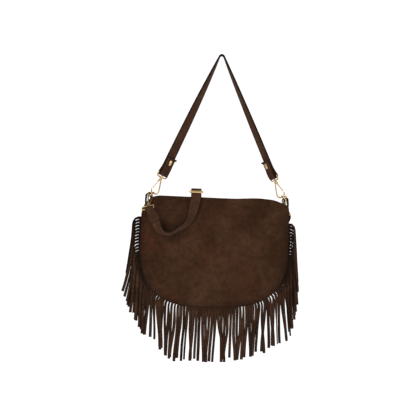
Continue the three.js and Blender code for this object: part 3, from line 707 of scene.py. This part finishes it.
def gold_material(name, scratch_size):
    """Pale gold plate: polished, with faint rubbed patches."""
    material, nodes, links, shader = new_material(name)
    place = nodes.new("ShaderNodeTexCoord")
    rubbed = nodes.new("ShaderNodeTexNoise")
    rubbed.inputs["Scale"].default_value = scratch_size
    rubbed.inputs["Detail"].default_value = 5
    links.new(place.outputs["Object"], rubbed.inputs["Vector"])
    dull = nodes.new("ShaderNodeMapRange")
    dull.inputs["From Min"].default_value = 0.35
    dull.inputs["From Max"].default_value = 0.75
    dull.inputs["To Min"].default_value = 0.16
    dull.inputs["To Max"].default_value = 0.36
    links.new(rubbed.outputs["Fac"], dull.inputs["Value"])
    links.new(dull.outputs[0], shader.inputs["Roughness"])
    tone = nodes.new("ShaderNodeMix")
    tone.data_type = "RGBA"
    tone.inputs["A"].default_value = (0.58, 0.405, 0.190, 1)
    tone.inputs["B"].default_value = (0.40, 0.265, 0.112, 1)
    links.new(rubbed.outputs["Fac"], tone.inputs["Factor"])
    links.new(tone.outputs["Result"], shader.inputs["Base Color"])
    bump = nodes.new("ShaderNodeBump")
    bump.inputs["Strength"].default_value = 0.08
    bump.inputs["Distance"].default_value = 0.0002
    links.new(rubbed.outputs["Fac"], bump.inputs["Height"])
    links.new(bump.outputs[0], shader.inputs["Normal"])
    shader.inputs["Metallic"].default_value = 1.0
    return material


tape_weave = woven_material("zip_tape_weave", (0.030, 0.016, 0.010, 1))
gold = gold_material("pale_gold_plate", 260)


def zip_tooth(side):
    """One tooth: a small block with its tip drawn in, standing on the tape's edge."""
    bpy.ops.object.select_all(action="DESELECT")
    bpy.ops.mesh.primitive_cube_add(size=1)
    tooth = bpy.context.object
    low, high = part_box("zip_teeth_front" if side < 0 else "zip_teeth_back")
    bpy.ops.object.mode_set(mode="EDIT")
    bpy.ops.transform.resize(value=(ZIP_PITCH * 0.52, high.y - low.y, high.z - low.z))
    bpy.ops.mesh.bevel(offset=0.0003, segments=1)
    bpy.ops.object.mode_set(mode="OBJECT")
    for vertex in tooth.data.vertices:
        if vertex.co.y * side < 0:
            vertex.co.x *= 0.72
    tooth.data.transform(Matrix.Translation((0, (low.y + high.y) / 2, (low.z + high.z) / 2)))
    return tooth


for side, place in ((-1, "front"), (1, "back")):
    tooth = zip_tooth(side)
    row = []
    for number in range(int(2 * ZIP_HALF_LENGTH / ZIP_PITCH)):
        copy = tooth.copy()
        copy.data = tooth.data.copy()
        shift = -ZIP_HALF_LENGTH + (number + 0.5 + 0.25 * side) * ZIP_PITCH
        copy.data.transform(Matrix.Translation((shift, 0, 0)))
        scene.collection.objects.link(copy)
        row.append(copy)
    bpy.ops.object.select_all(action="DESELECT")
    for copy in row:
        copy.select_set(True)
    bpy.context.view_layer.objects.active = row[0]
    bpy.ops.object.join()
    bpy.data.objects.remove(tooth)
    finish_piece(row[0], f"zip_teeth_row_{place}", gold, "bag", "gold_metal", f"zip_teeth_{place}")

    low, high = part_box(f"zip_tape_{place}")
    bpy.ops.object.select_all(action="DESELECT")
    bpy.ops.mesh.primitive_grid_add(x_subdivisions=60, y_subdivisions=6, size=1)
    tape = bpy.context.object
    for vertex in tape.data.vertices:
        x = (low.x + high.x) / 2 + vertex.co.x * (high.x - low.x)
        y = (low.y + high.y) / 2 + vertex.co.y * (high.y - low.y)
        inner = smooth(0.004, 0.011, abs(y))
        end = smooth(0.096, 0.106, abs(x))
        rise = 0.0022 * inner - 0.0018 * end + 0.0003 * noise.noise(Vector((x * 60, y * 80, side)))
        vertex.co = Vector((x, y, ZIP_LEVEL + rise))
    thicken(tape, TAPE_THICKNESS, 0.0002)
    finish_piece(tape, f"zip_tape_woven_{place}", tape_weave, "bag", "zip_tape", f"zip_tape_{place}")


def gold_plate(node):
    """Gives the gold material to a piece that keeps its own shape."""
    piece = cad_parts[node]
    piece.data.materials.clear()
    piece.data.materials.append(gold)


for node in ("zip_slider", "zip_pull"):
    gold_plate(node)

# ---------------------------------------------------------------------------
# Short strap. One strip of suede over a peg, with painted edges. Each end is looped round
# the bar of a hook's eye, laid back on itself and held by one pill-shaped gold rivet.
STRAP_WIDTH = 0.0196
SHORT_STRAP_THICKNESS = 0.0032
PEG_RADIUS = 0.003
LEG_LENGTH = 0.259
LEG_LEAN = 0.42
FLAP_LENGTH = 0.033
FLAP_FLARE = 0.005
FLARE_LENGTH = 0.008
RIVET_UP = 0.0235
PILL_HALF_WIDTH = 0.0029
PILL_STRETCH = 0.003
EYE_HEIGHT = 0.0098
WIRE = 0.0013
WRAP_GAP = 0.0005
LAYER_GAP = 0.0003
STRAP_STEPS_EACH = 5
STRAP_CUTS = 6
STRAP_EDGE_ROUNDING = 0.0007
FOLD_RADIUS = PEG_RADIUS + SHORT_STRAP_THICKNESS / 2
TO_BACK = Vector((0, 1, 0))


def through(points, steps_each):
    """A smooth line through the points, as three numbers each, even at uneven spacing."""
    line = []
    count = len(points)
    for index in range(count - 1):
        first, second = points[index], points[index + 1]
        before = points[index - 1] if index else 2 * first - second
        after = points[index + 2] if index < count - 2 else 2 * second - first
        spans = ((before, first), (first, second), (second, after))
        gap_in, gap, gap_out = [max((b - a).length, 1e-7) ** 0.5 for a, b in spans]
        ahead = (second - first) / gap
        leave = (first - before) / gap_in - (second - before) / (gap_in + gap) + ahead
        arrive = ahead - (after - first) / (gap + gap_out) + (after - second) / gap_out
        leave, arrive = leave * gap, arrive * gap
        for step in range(steps_each):
            t = step / steps_each
            line.append(
                first * (2 * t ** 3 - 3 * t ** 2 + 1) + leave * (t ** 3 - 2 * t ** 2 + t)
                + second * (3 * t ** 2 - 2 * t ** 3) + arrive * (t ** 3 - t ** 2)
            )
    return line + [points[-1].copy()]


def half_turn(bar, side, pull, across, radius):
    """Stations of a strap round a bar, from the side given and past the far side of it."""
    turns = []
    for step in range(9):
        angle = step / 8 * math.pi
        turns.append((bar + side * radius * math.cos(angle) - pull * radius * math.sin(angle), across))
    return turns


def lay_strap(stations, thickness, width_at):
    """A flat strip laid through stations of (place, across), its edges wavering slightly."""
    places = through([place for place, _ in stations], STRAP_STEPS_EACH)
    acrosses = through([across for _, across in stations], STRAP_STEPS_EACH)
    steps = len(places) - 1
    strap = flat_grid(STRAP_CUTS, steps)
    shares = []
    for vertex in strap.data.vertices:
        index = min(round((vertex.co.y + 1) / 2 * steps), steps)
        travel = (places[min(index + 1, steps)] - places[max(index - 1, 0)]).normalized()
        normal = travel.cross(acrosses[index]).normalized()
        across = normal.cross(travel).normalized()
        wide = width_at(index / steps)
        shares.append(1 if index in (0, steps) else abs(vertex.co.x))
        waver = 1 + 0.012 * noise.noise(Vector((index * 0.13, 4.4, vertex.co.x)))
        vertex.co = places[index] + across * (vertex.co.x * wide / 2 * waver)
    stored = strap.data.attributes.new("edge", "FLOAT", "POINT")
    stored.data.foreach_set("value", shares)
    thicken(strap, thickness, STRAP_EDGE_ROUNDING, even=False)
    return strap


LEGS = {}
for name, sign, turn in (("left", -1, math.radians(37)), ("right", 1, math.radians(56))):
    down = Vector((sign * math.sin(LEG_LEAN), 0, -math.cos(LEG_LEAN)))
    out = Vector((sign * math.cos(LEG_LEAN), 0, math.sin(LEG_LEAN)))
    top = Vector((0, 0, -PEG_RADIUS)) + out * FOLD_RADIUS
    swivel = top + down * LEG_LENGTH
    LEGS[name] = {
        "sign": sign, "turn": turn, "down": down, "out": out, "swivel": swivel,
        "bar": swivel - down * EYE_HEIGHT,
        "across": out * math.cos(turn) - TO_BACK * math.sin(turn),
        "face": -out * math.sin(turn) - TO_BACK * math.cos(turn),
    }


def short_leg(leg):
    """One end of the short strap: flap, loop round the bar, and the leg up to the peg."""
    bar, across, face, down = leg["bar"], leg["across"], leg["face"], leg["down"]
    layer = SHORT_STRAP_THICKNESS + LAYER_GAP
    stations = [
        (bar - down * up + face * lift, across)
        for up, lift in (
            (FLAP_LENGTH, layer + 0.0026), (RIVET_UP + 0.006, layer + 0.0001), (RIVET_UP, layer),
            (RIVET_UP - 0.006, layer), (0.009, layer + 0.0006),
        )
    ]
    stations += half_turn(bar, face, -down, across, WIRE + WRAP_GAP + SHORT_STRAP_THICKNESS / 2)
    for up, lift in ((0.009, -0.0015), (RIVET_UP - 0.006, -0.0002), (RIVET_UP, 0)):
        stations.append((bar - down * up + face * lift, across))
    length = LEG_LENGTH - EYE_HEIGHT
    for step in range(1, 10):
        up = RIVET_UP + step / 10 * (length - RIVET_UP)
        turned = leg["turn"] + (math.pi / 2 - leg["turn"]) * (up / length) ** 2
        stations.append((bar - down * up, leg["out"] * math.cos(turned) - TO_BACK * math.sin(turned)))
    return stations


stations = short_leg(LEGS["left"])
for step in range(7):
    angle = math.pi - LEG_LEAN - step / 6 * (math.pi - 2 * LEG_LEAN)
    place = Vector((FOLD_RADIUS * math.cos(angle), 0, FOLD_RADIUS * math.sin(angle) - PEG_RADIUS))
    stations.append((place, -TO_BACK))
stations += short_leg(LEGS["right"])[::-1]


def short_width(share):
    """The strap's width: even, and flaring out at both cut ends."""
    end = FLARE_LENGTH / (2 * LEG_LENGTH)
    return STRAP_WIDTH + FLAP_FLARE * max(0, 1 - min(share, 1 - share) / end)


strap_suede = suede_material(
    "strap_suede_brown", (0.0370, 0.0158, 0.0078, 1), (0.0560, 0.0262, 0.0146, 1),
    (0.0480, 0.0178, 0.0098, 1), 2.6, "edge", 0.80, 1.05,
)
short_strap = lay_strap(stations, SHORT_STRAP_THICKNESS, short_width)
finish_piece(short_strap, "carry_strap", strap_suede, "bag", "strap_suede", "short_strap")


def placed(x_axis, y_axis, z_axis, origin):
    """The matrix that puts a piece's own axes along these directions at this origin."""
    turned = Matrix((x_axis, y_axis, z_axis)).transposed().to_4x4()
    return Matrix.Translation(origin) @ turned


def pill_rivet(leg):
    """A pill-shaped domed head on a shank, with a round washer behind the strap."""
    stack = SHORT_STRAP_THICKNESS + LAYER_GAP
    along_y = (math.pi / 2, 0, 0)
    bpy.ops.object.select_all(action="DESELECT")
    bpy.ops.mesh.primitive_uv_sphere_add(segments=28, ring_count=14, radius=PILL_HALF_WIDTH)
    head = bpy.context.object
    for vertex in head.data.vertices:
        if abs(vertex.co.z) > 1e-6:
            vertex.co.z += math.copysign(PILL_STRETCH, vertex.co.z)
        vertex.co.y = stack + 0.0017 + max(vertex.co.y, -0.0004) * 0.55
    bpy.ops.mesh.primitive_cylinder_add(
        vertices=24, radius=0.0013, depth=2 * stack + 0.002, rotation=along_y
    )
    shank = bpy.context.object
    bpy.ops.mesh.primitive_cylinder_add(
        vertices=32, radius=0.003, depth=0.001, location=(0, -stack - 0.0007, 0), rotation=along_y
    )
    washer = bpy.context.object
    rim = washer.modifiers.new("rim", "BEVEL")
    rim.width, rim.segments = 0.0003, 2
    apply_modifiers(washer)
    for piece in (head, shank, washer):
        piece.select_set(True)
        piece.data.transform(piece.matrix_world)
        piece.matrix_world = Matrix.Identity(4)
    bpy.context.view_layer.objects.active = head
    bpy.ops.object.join()
    across = leg["across"]
    middle = leg["bar"] - leg["down"] * RIVET_UP + leg["face"] * (SHORT_STRAP_THICKNESS / 2)
    head.data.transform(placed(across, leg["face"], across.cross(leg["face"]), middle))
    bpy.ops.object.shade_smooth_by_angle(angle=math.radians(40))
    return head


for name, leg in LEGS.items():
    finish_piece(pill_rivet(leg), f"{name}_pill_rivet", gold, "bag", "gold_metal", f"strap_rivet_{name}")

# ---------------------------------------------------------------------------
# Rings and their tabs. A short suede strip is folded over each ring's straight bar and
# sewn into the body's top corner. The left one stands up in a wider loop than the right
# one. The rings are bent from round wire and plated.
WIRE_SIDES = 14
RING_WIRE = 0.0014
RING_DEPTH = 0.012
RING_HALF_WIDTH = 0.0112
RING_BAR_X = 0.1312
RING_BAR_Z = -0.2729
RING_LIFT = 0.75
TAB_THICKNESS = 0.0032
TAB_WIDTH = 0.013


def bent_wire(path, radius, tall=1.0):
    """A closed wire: a torus whose middle line is moved onto a closed flat (x, z) path."""
    steps = len(path) - 1
    bpy.ops.object.select_all(action="DESELECT")
    bpy.ops.mesh.primitive_torus_add(
        major_segments=steps, minor_segments=WIRE_SIDES, major_radius=1, minor_radius=radius
    )
    bent = bpy.context.object
    for vertex in bent.data.vertices:
        turn = math.atan2(vertex.co.y, vertex.co.x) / (2 * math.pi) % 1
        index = round(turn * steps) % steps
        out = math.hypot(vertex.co.x, vertex.co.y) - 1
        heading = (path[(index + 1) % steps] - path[index - 1]).normalized()
        at = path[index]
        vertex.co = Vector((at.x + heading.y * out, -vertex.co.z * tall, at.y - heading.x * out))
    bpy.ops.object.shade_smooth()
    return bent


def wire_path(corners, steps):
    """An even closed path through curve pieces of four (x, z) points each."""
    line = []
    for start, leave, arrive, end in corners:
        line += interpolate_bezier(*[Vector(p) * 0.001 for p in (start, leave, arrive, end)], 24)[:-1]
    return evenly(line + [line[0].copy()], steps + 1)


ring_path = wire_path([
    ((0, 0), (4, 0), (6, 0), (8.6, 0)), ((8.6, 0), (12.8, 0), (12.8, 10), (5, 11.6)),
    ((5, 11.6), (1.7, 12.1), (-1.7, 12.1), (-5, 11.6)),
    ((-5, 11.6), (-12.8, 10), (-12.8, 0), (-8.6, 0)),
    ((-8.6, 0), (-6, 0), (-4, 0), (0, 0)),
], 96)
tab_suede = suede_material(
    "tab_suede_brown", (0.0200, 0.0085, 0.0042, 1), (0.0400, 0.0185, 0.0100, 1),
    (0.0320, 0.0120, 0.0066, 1), 3.0, "edge", 0.70, 0.98,
)
RINGS = {}
for name, leg in LEGS.items():
    sign = leg["sign"]
    bar = Vector((sign * RING_BAR_X, 0, RING_BAR_Z))
    toward = Vector((-sign * math.cos(RING_LIFT), 0, math.sin(RING_LIFT)))
    RINGS[name] = {"bar": bar, "toward": toward}
    if sign < 0:
        places = [(0.1366, -0.294), (0.1378, -0.284)]
        fold, radius = (0.1328, -0.2727), 0.0046
    else:
        places = [(0.1330, -0.294), (0.1350, -0.286), (0.1350, -0.2785)]
        fold, radius = (RING_BAR_X, RING_BAR_Z), RING_WIRE + 0.0003 + TAB_THICKNESS / 2
    for step in range(8):
        angle = -0.2 + step / 7 * 3.5
        places.append((fold[0] + radius * math.cos(angle), fold[1] + radius * math.sin(angle)))
    places += [(0.1270, -0.283), (0.1235, -0.292)]
    tab_route = [(Vector((sign * x, 0, z)), TO_BACK) for x, z in places]
    tab = lay_strap(tab_route, TAB_THICKNESS, lambda share: TAB_WIDTH)
    finish_piece(tab, f"{name}_ring_tab", tab_suede, "bag", "strap_suede", f"ring_tab_{name}")
    ring = bent_wire(ring_path, RING_WIRE)
    ring.data.transform(placed(TO_BACK, toward.cross(TO_BACK), toward, bar))
    finish_piece(ring, f"{name}_wire_ring", gold, f"ring_{name}", "gold_metal", f"ring_{name}")

# ---------------------------------------------------------------------------
# Snap hooks. A swivel stud turns in the boss of a wide wire eye and carries a pear-shaped
# wire loop. A sprung gate, hinged on a pin between two cheeks, closes the loop.
HOOK_LENGTH = 0.034
RING_GAP = 0.0012
HOOK_DROP = 0.0022
PIVOT = Vector((0.0019, 0, -0.0058))
GATE_TIP = Vector((0.0066, 0, -0.0239))
CHEEK_SIZE = (0.0036, 0.0011, 0.0060)
CHEEK_Y = 0.00175


def ring_stack(sides, radius, count):
    """A closed stack of rings one unit apart: a disc extruded count times."""
    bpy.ops.object.select_all(action="DESELECT")
    bpy.ops.mesh.primitive_circle_add(vertices=sides, radius=radius, fill_type="NGON")
    bpy.ops.object.mode_set(mode="EDIT")
    bpy.ops.mesh.select_all(action="SELECT")
    for _ in range(count):
        bpy.ops.mesh.extrude_region_move(TRANSFORM_OT_translate={"value": (0, 0, 1)})
    bpy.ops.object.mode_set(mode="OBJECT")
    return bpy.context.object


def open_wire(points, radius):
    """A round wire along points, drawn in a little at both ends."""
    line = through(points, 8)
    steps = len(line) - 1
    wire = ring_stack(WIRE_SIDES, radius, steps)
    for vertex in wire.data.vertices:
        index = round(vertex.co.z)
        travel = (line[min(index + 1, steps)] - line[max(index - 1, 0)]).normalized()
        side = travel.cross(TO_BACK).normalized()
        end = 0.72 if index in (0, steps) else 1
        vertex.co = line[index] + (side * vertex.co.x + TO_BACK * vertex.co.y) * end
    face_outward()
    return wire


def turned_post(profile):
    """A turned post with the (radius, height) profile given."""
    post = ring_stack(24, 1, len(profile) - 1)
    for vertex in post.data.vertices:
        radius, height = profile[round(vertex.co.z)]
        vertex.co = Vector((vertex.co.x * radius, vertex.co.y * radius, height))
    face_outward()
    return post


def joined(pieces):
    """Several shapes as one piece, smooth but for its sharp edges."""
    bpy.ops.object.select_all(action="DESELECT")
    for piece in pieces:
        piece.select_set(True)
    bpy.context.view_layer.objects.active = pieces[0]
    bpy.ops.object.transform_apply(location=True, rotation=True, scale=True)
    bpy.ops.object.join()
    bpy.ops.object.shade_smooth_by_angle(angle=math.radians(40))
    return pieces[0]


def small_plate(size, middle, rounding):
    """A small plate with rounded edges."""
    bpy.ops.object.select_all(action="DESELECT")
    bpy.ops.mesh.primitive_cube_add(size=1, location=middle)
    plate = bpy.context.object
    plate.scale = size
    bpy.ops.object.transform_apply(location=True, rotation=True, scale=True)
    soft = plate.modifiers.new("soft", "BEVEL")
    soft.width, soft.segments = rounding, 2
    apply_modifiers(plate)
    return plate


def millimetres(pairs):
    """Points of the hook's own flat side, given as (x, z) in millimetres."""
    return [Vector((x, 0, z)) * 0.001 for x, z in pairs]


def hook_loop():
    """The stud, the wire loop below it and the two cheeks that hold the gate's pin."""
    loop = open_wire(millimetres([
        (-1.4, -2.4), (-3.8, -11), (-6.2, -21), (-7, -26.5), (-5.2, -31.3), (0, -32.7),
        (5.2, -31.3), (7, -27.2), (6.9, -25.4),
    ]), WIRE)
    stud = turned_post([(r * 0.001, z * 0.001) for r, z in (
        (0.8, -3.9), (2.0, -3.6), (2.9, -2.8), (3.1, -1.9), (2.9, -0.9), (2.2, -0.35), (1.2, -0.3),
        (1.2, 3.5), (1.9, 3.6), (2.1, 3.9), (1.5, 4.4), (0.4, 4.6),
    )])
    cheeks = [small_plate(CHEEK_SIZE, (PIVOT.x, y, -0.0049), 0.0005) for y in (-CHEEK_Y, CHEEK_Y)]
    return joined([loop, stud, *cheeks])


def hook_gate():
    """The gate: a barrel on the pin and a slim bar that shuts against the loop's end."""
    along = GATE_TIP - PIVOT
    bar = open_wire([PIVOT + along * share for share in (0.05, 0.35, 0.7, 0.98)], 0.0010)
    for vertex in bar.data.vertices:
        vertex.co.y *= 0.85
    bpy.ops.mesh.primitive_cylinder_add(
        vertices=24, radius=0.0018, depth=0.0017, location=PIVOT, rotation=(math.pi / 2, 0, 0)
    )
    barrel = bpy.context.object
    return joined([bar, barrel])


eye_path = wire_path([
    ((0, 1.6), (0.7, 1.6), (1.3, 1.6), (2, 1.6)), ((2, 1.6), (8, 1.6), (11.6, 1.8), (11.6, 5)),
    ((11.6, 5), (11.6, 6), (11.6, 7), (11.6, 8)), ((11.6, 8), (11.6, 9.2), (11, 9.8), (9.8, 9.8)),
    ((9.8, 9.8), (3, 9.8), (-3, 9.8), (-9.8, 9.8)), ((-9.8, 9.8), (-11, 9.8), (-11.6, 9.2), (-11.6, 8)),
    ((-11.6, 8), (-11.6, 7), (-11.6, 6), (-11.6, 5)), ((-11.6, 5), (-11.6, 1.8), (-8, 1.6), (-2, 1.6)),
    ((-2, 1.6), (-1.3, 1.6), (-0.7, 1.6), (0, 1.6)),
], 120)


def hook_eye():
    """The wide wire eye with the round boss that the stud turns in."""
    eye = bent_wire(eye_path, WIRE)
    bpy.ops.mesh.primitive_cylinder_add(
        vertices=32, radius=0.0031, depth=0.0032, location=(0, 0, 0.0016), end_fill_type="NOTHING"
    )
    boss = bpy.context.object
    wall = boss.modifiers.new("wall", "SOLIDIFY")
    wall.thickness = 0.0015
    rim = boss.modifiers.new("rim", "BEVEL")
    rim.width, rim.segments, rim.limit_method = 0.0004, 2, "ANGLE"
    apply_modifiers(boss)
    return joined([eye, boss])


def add_hook(name, place, up, gate_side, bar_side):
    """One snap hook at its swivel, its loop hanging against up."""
    across = (gate_side - up * gate_side.dot(up)).normalized()
    hook_place = placed(across, up.cross(across), up, place)
    loop = hook_loop()
    loop.data.transform(hook_place)
    finish_piece(loop, f"{name}_hook_loop", gold, f"hook_{name}", "gold_metal", f"hook_{name}_frame")
    gate = hook_gate()
    gate.data.transform(hook_place)
    finish_piece(gate, f"{name}_hook_latch", gold, f"gate_{name}", "gold_metal", f"hook_{name}_gate")
    eye = hook_eye()
    eye.data.transform(placed(bar_side, up.cross(bar_side), up, place))
    finish_piece(eye, f"{name}_hook_bow", gold, "bag", "gold_metal", f"hook_{name}_eye")
    gold_plate(f"hook_{name}_gate_pin")


for name, leg in LEGS.items():
    add_hook(f"short_{name}", leg["swivel"], -leg["down"], leg["out"], leg["across"])

HANG = Vector((0.1, 0.7, -0.707)).normalized()
LONG_HOOKS = {}
for name, ring in RINGS.items():
    sign = LEGS[name]["sign"]
    hang = Vector((sign * HANG.x, sign * HANG.y, HANG.z))
    held = ring["bar"] + ring["toward"] * (RING_DEPTH / 2 - HOOK_DROP) + TO_BACK * (sign * RING_HALF_WIDTH)
    swivel = held + hang * (HOOK_LENGTH - WIRE - (WIRE + RING_WIRE + RING_GAP))
    loop_normal = (ring["toward"] - hang * ring["toward"].dot(hang)).normalized()
    gate_side = loop_normal.cross(hang)
    across = Vector((0.95, -0.4, 0.15)) if sign < 0 else Vector((0.72, -0.68, -0.15))
    across = (across - hang * across.dot(hang)).normalized()
    LONG_HOOKS[name] = {"hang": hang, "across": across, "bar": swivel + hang * EYE_HEIGHT}
    add_hook(f"long_{name}", swivel, hang, gate_side, across)

# ---------------------------------------------------------------------------
# Long strap and its glide. One strip of the same suede runs from the left eye in a bow across
# the front, through the glide, over the zip and down behind the body to the right eye, and
# back to the glide's bar. Its left end is sewn back on itself. The glide is plated metal.
LONG_STRAP_THICKNESS = 0.0026
GLIDE = Vector((-0.0412, -0.012, -0.263))
GLIDE_HALF_WIDTH = 0.0117
GLIDE_HALF_DEPTH = 0.0087
LONG_WRAP = WIRE + WRAP_GAP + LONG_STRAP_THICKNESS / 2
LONG_LAYER = LONG_STRAP_THICKNESS + LAYER_GAP


def station(x, y, z, across):
    """A place on the strap, in millimetres, and the way its width lies there."""
    return Vector((x, y, z)) * 0.001, Vector(across).normalized()


def long_stations():
    """The whole run of the long strap, from its sewn left end to the glide's bar."""
    left, right = LONG_HOOKS["left"], LONG_HOOKS["right"]
    left_face = left["across"].cross(left["hang"]).normalized()
    glide_x = GLIDE.x * 1000
    left_wrap = left["bar"] + left["across"] * 0.003
    run = [
        station(-116.6, -41.4, -319.5, (0.88, -0.28, 0.40)),
        station(-120.8, -41.9, -312, (0.88, -0.28, 0.40)),
        station(-126.2, -42.6, -302.5, (0.92, -0.32, 0.28)),
        *half_turn(left_wrap, -left_face, left["hang"], left["across"], LONG_WRAP),
        station(-126.4, -37.8, -303.5, (0.92, -0.32, 0.28)),
        station(-121.4, -38.4, -312, (0.88, -0.28, 0.40)),
        station(-116.8, -38.4, -320.5, (0.85, -0.42, 0.38)),
        station(-112.4, -38, -329.9, (0.76, -0.62, 0.34)),
        station(-106.5, -38, -338.6, (0.52, -0.78, 0.42)),
        station(-98.6, -38.5, -342.8, (0.2, -0.92, 0.38)),
        station(-89.6, -38.5, -343.2, (-0.02, -0.94, 0.34)),
        station(-75.7, -38, -335.5, (-0.16, -0.94, 0.30)),
        station(-59.5, -36, -324.3, (-0.36, -0.84, 0.36)),
        station(-50.0, -31, -308.5, (-0.78, -0.5, 0.38)),
        station(-44.6, -24, -289.4, (-0.97, -0.1, 0.2)),
        station(glide_x - 0.2, -18.4, -271, (-1, 0, 0)),
    ]
    for step in range(7):
        angle = math.pi * (1 - step / 6)
        over = LONG_WRAP + LONG_LAYER
        place = GLIDE + Vector((0, over * math.cos(angle), over * math.sin(angle)))
        run.append((place, Vector((-1, 0, 0))))
    run.append(station(glide_x, -2.6, -265.6, (-1, 0, 0)))
    behind = [
        station(glide_x, 4, -266.4, (-1, 0, 0)), station(glide_x, 12, -267.2, (-1, 0, 0)),
        station(glide_x + 0.2, 20.5, -273, (-1, 0, 0)), station(-39.5, 26, -292, (-1, 0, 0)),
        station(-34, 34.5, -335, (-0.95, -0.3, 0)), station(-22, 39.5, -385, (-0.6, -0.8, 0)),
        station(8, 40.5, -424, (-0.2, -1, 0)), station(45, 40.5, -437, (0, -1, 0)),
        station(82, 40.5, -418, (0.2, -1, 0)), station(108, 39.5, -375, (0.6, -0.8, 0)),
        station(121, 37, -335, (0.95, -0.3, 0)),
    ]
    right_face = right["hang"].cross(right["across"]).normalized()
    pass_line = through([place for place, _ in behind], 1)
    beside = []
    for index, (place, across) in enumerate(behind):
        travel = (pass_line[min(index + 1, len(behind) - 1)] - pass_line[max(index - 1, 0)]).normalized()
        beside.append((place + across.cross(travel).normalized() * LONG_LAYER, across))
    hang, across = right["hang"], right["across"]
    run += behind
    run.append((right["bar"] + hang * 0.012 - right_face * LONG_WRAP, across))
    run += half_turn(right["bar"], -right_face, hang, across, LONG_WRAP)
    run.append((right["bar"] + hang * 0.012 + right_face * LONG_WRAP, across))
    run += beside[::-1]
    run += [station(glide_x, -3, -268.6, (-1, 0, 0)), station(glide_x, -8.4, -267, (-1, 0, 0))]
    for step in range(7):
        angle = -math.pi / 2 - step / 6 * 1.25 * math.pi
        place = GLIDE + Vector((0, LONG_WRAP * math.cos(angle), LONG_WRAP * math.sin(angle)))
        run.append((place, Vector((-1, 0, 0))))
    return run


def long_width(share):
    """The strap's width: even, but gathered in the left eye and wide at the end sewn back."""
    gathered = smooth(0.012, 0.035, share) * (1 - smooth(0.155, 0.178, share))
    return STRAP_WIDTH - 0.0046 * gathered + 0.0022 * (1 - smooth(0.012, 0.035, share))


long_strap = lay_strap(long_stations(), LONG_STRAP_THICKNESS, long_width)
finish_piece(long_strap, "shoulder_strap", strap_suede, "bag", "strap_suede", "long_strap")

w, d = GLIDE_HALF_WIDTH * 1000, GLIDE_HALF_DEPTH * 1000
glide_path = wire_path([
    ((0, -d), (4, -d), (7, -d), (w - 2, -d)), ((w - 2, -d), (w - 0.5, -d), (w, 0.5 - d), (w, 2 - d)),
    ((w, 2 - d), (w, -2), (w, 2), (w, d - 2)), ((w, d - 2), (w, d - 0.5), (w - 0.5, d), (w - 2, d)),
    ((w - 2, d), (4, d), (-4, d), (2 - w, d)), ((2 - w, d), (0.5 - w, d), (-w, d - 0.5), (-w, d - 2)),
    ((-w, d - 2), (-w, 2), (-w, -2), (-w, 2 - d)), ((-w, 2 - d), (-w, 0.5 - d), (0.5 - w, -d), (2 - w, -d)),
    ((2 - w, -d), (-7, -d), (-4, -d), (0, -d)),
], 120)
glide_frame = bent_wire(glide_path, WIRE, tall=1.8)
glide_frame.data.transform(Matrix.Rotation(-math.pi / 2, 4, "X"))
glide_frame.data.transform(Matrix.Translation((0, 0, 0.001)))
bpy.ops.mesh.primitive_cylinder_add(
    vertices=20, radius=WIRE, depth=2 * GLIDE_HALF_WIDTH, rotation=(0, math.pi / 2, 0)
)
glide = joined([glide_frame, bpy.context.object])
glide.data.transform(Matrix.Translation(GLIDE))
finish_piece(glide, "strap_length_glide", gold, "bag", "gold_metal", "strap_glide")
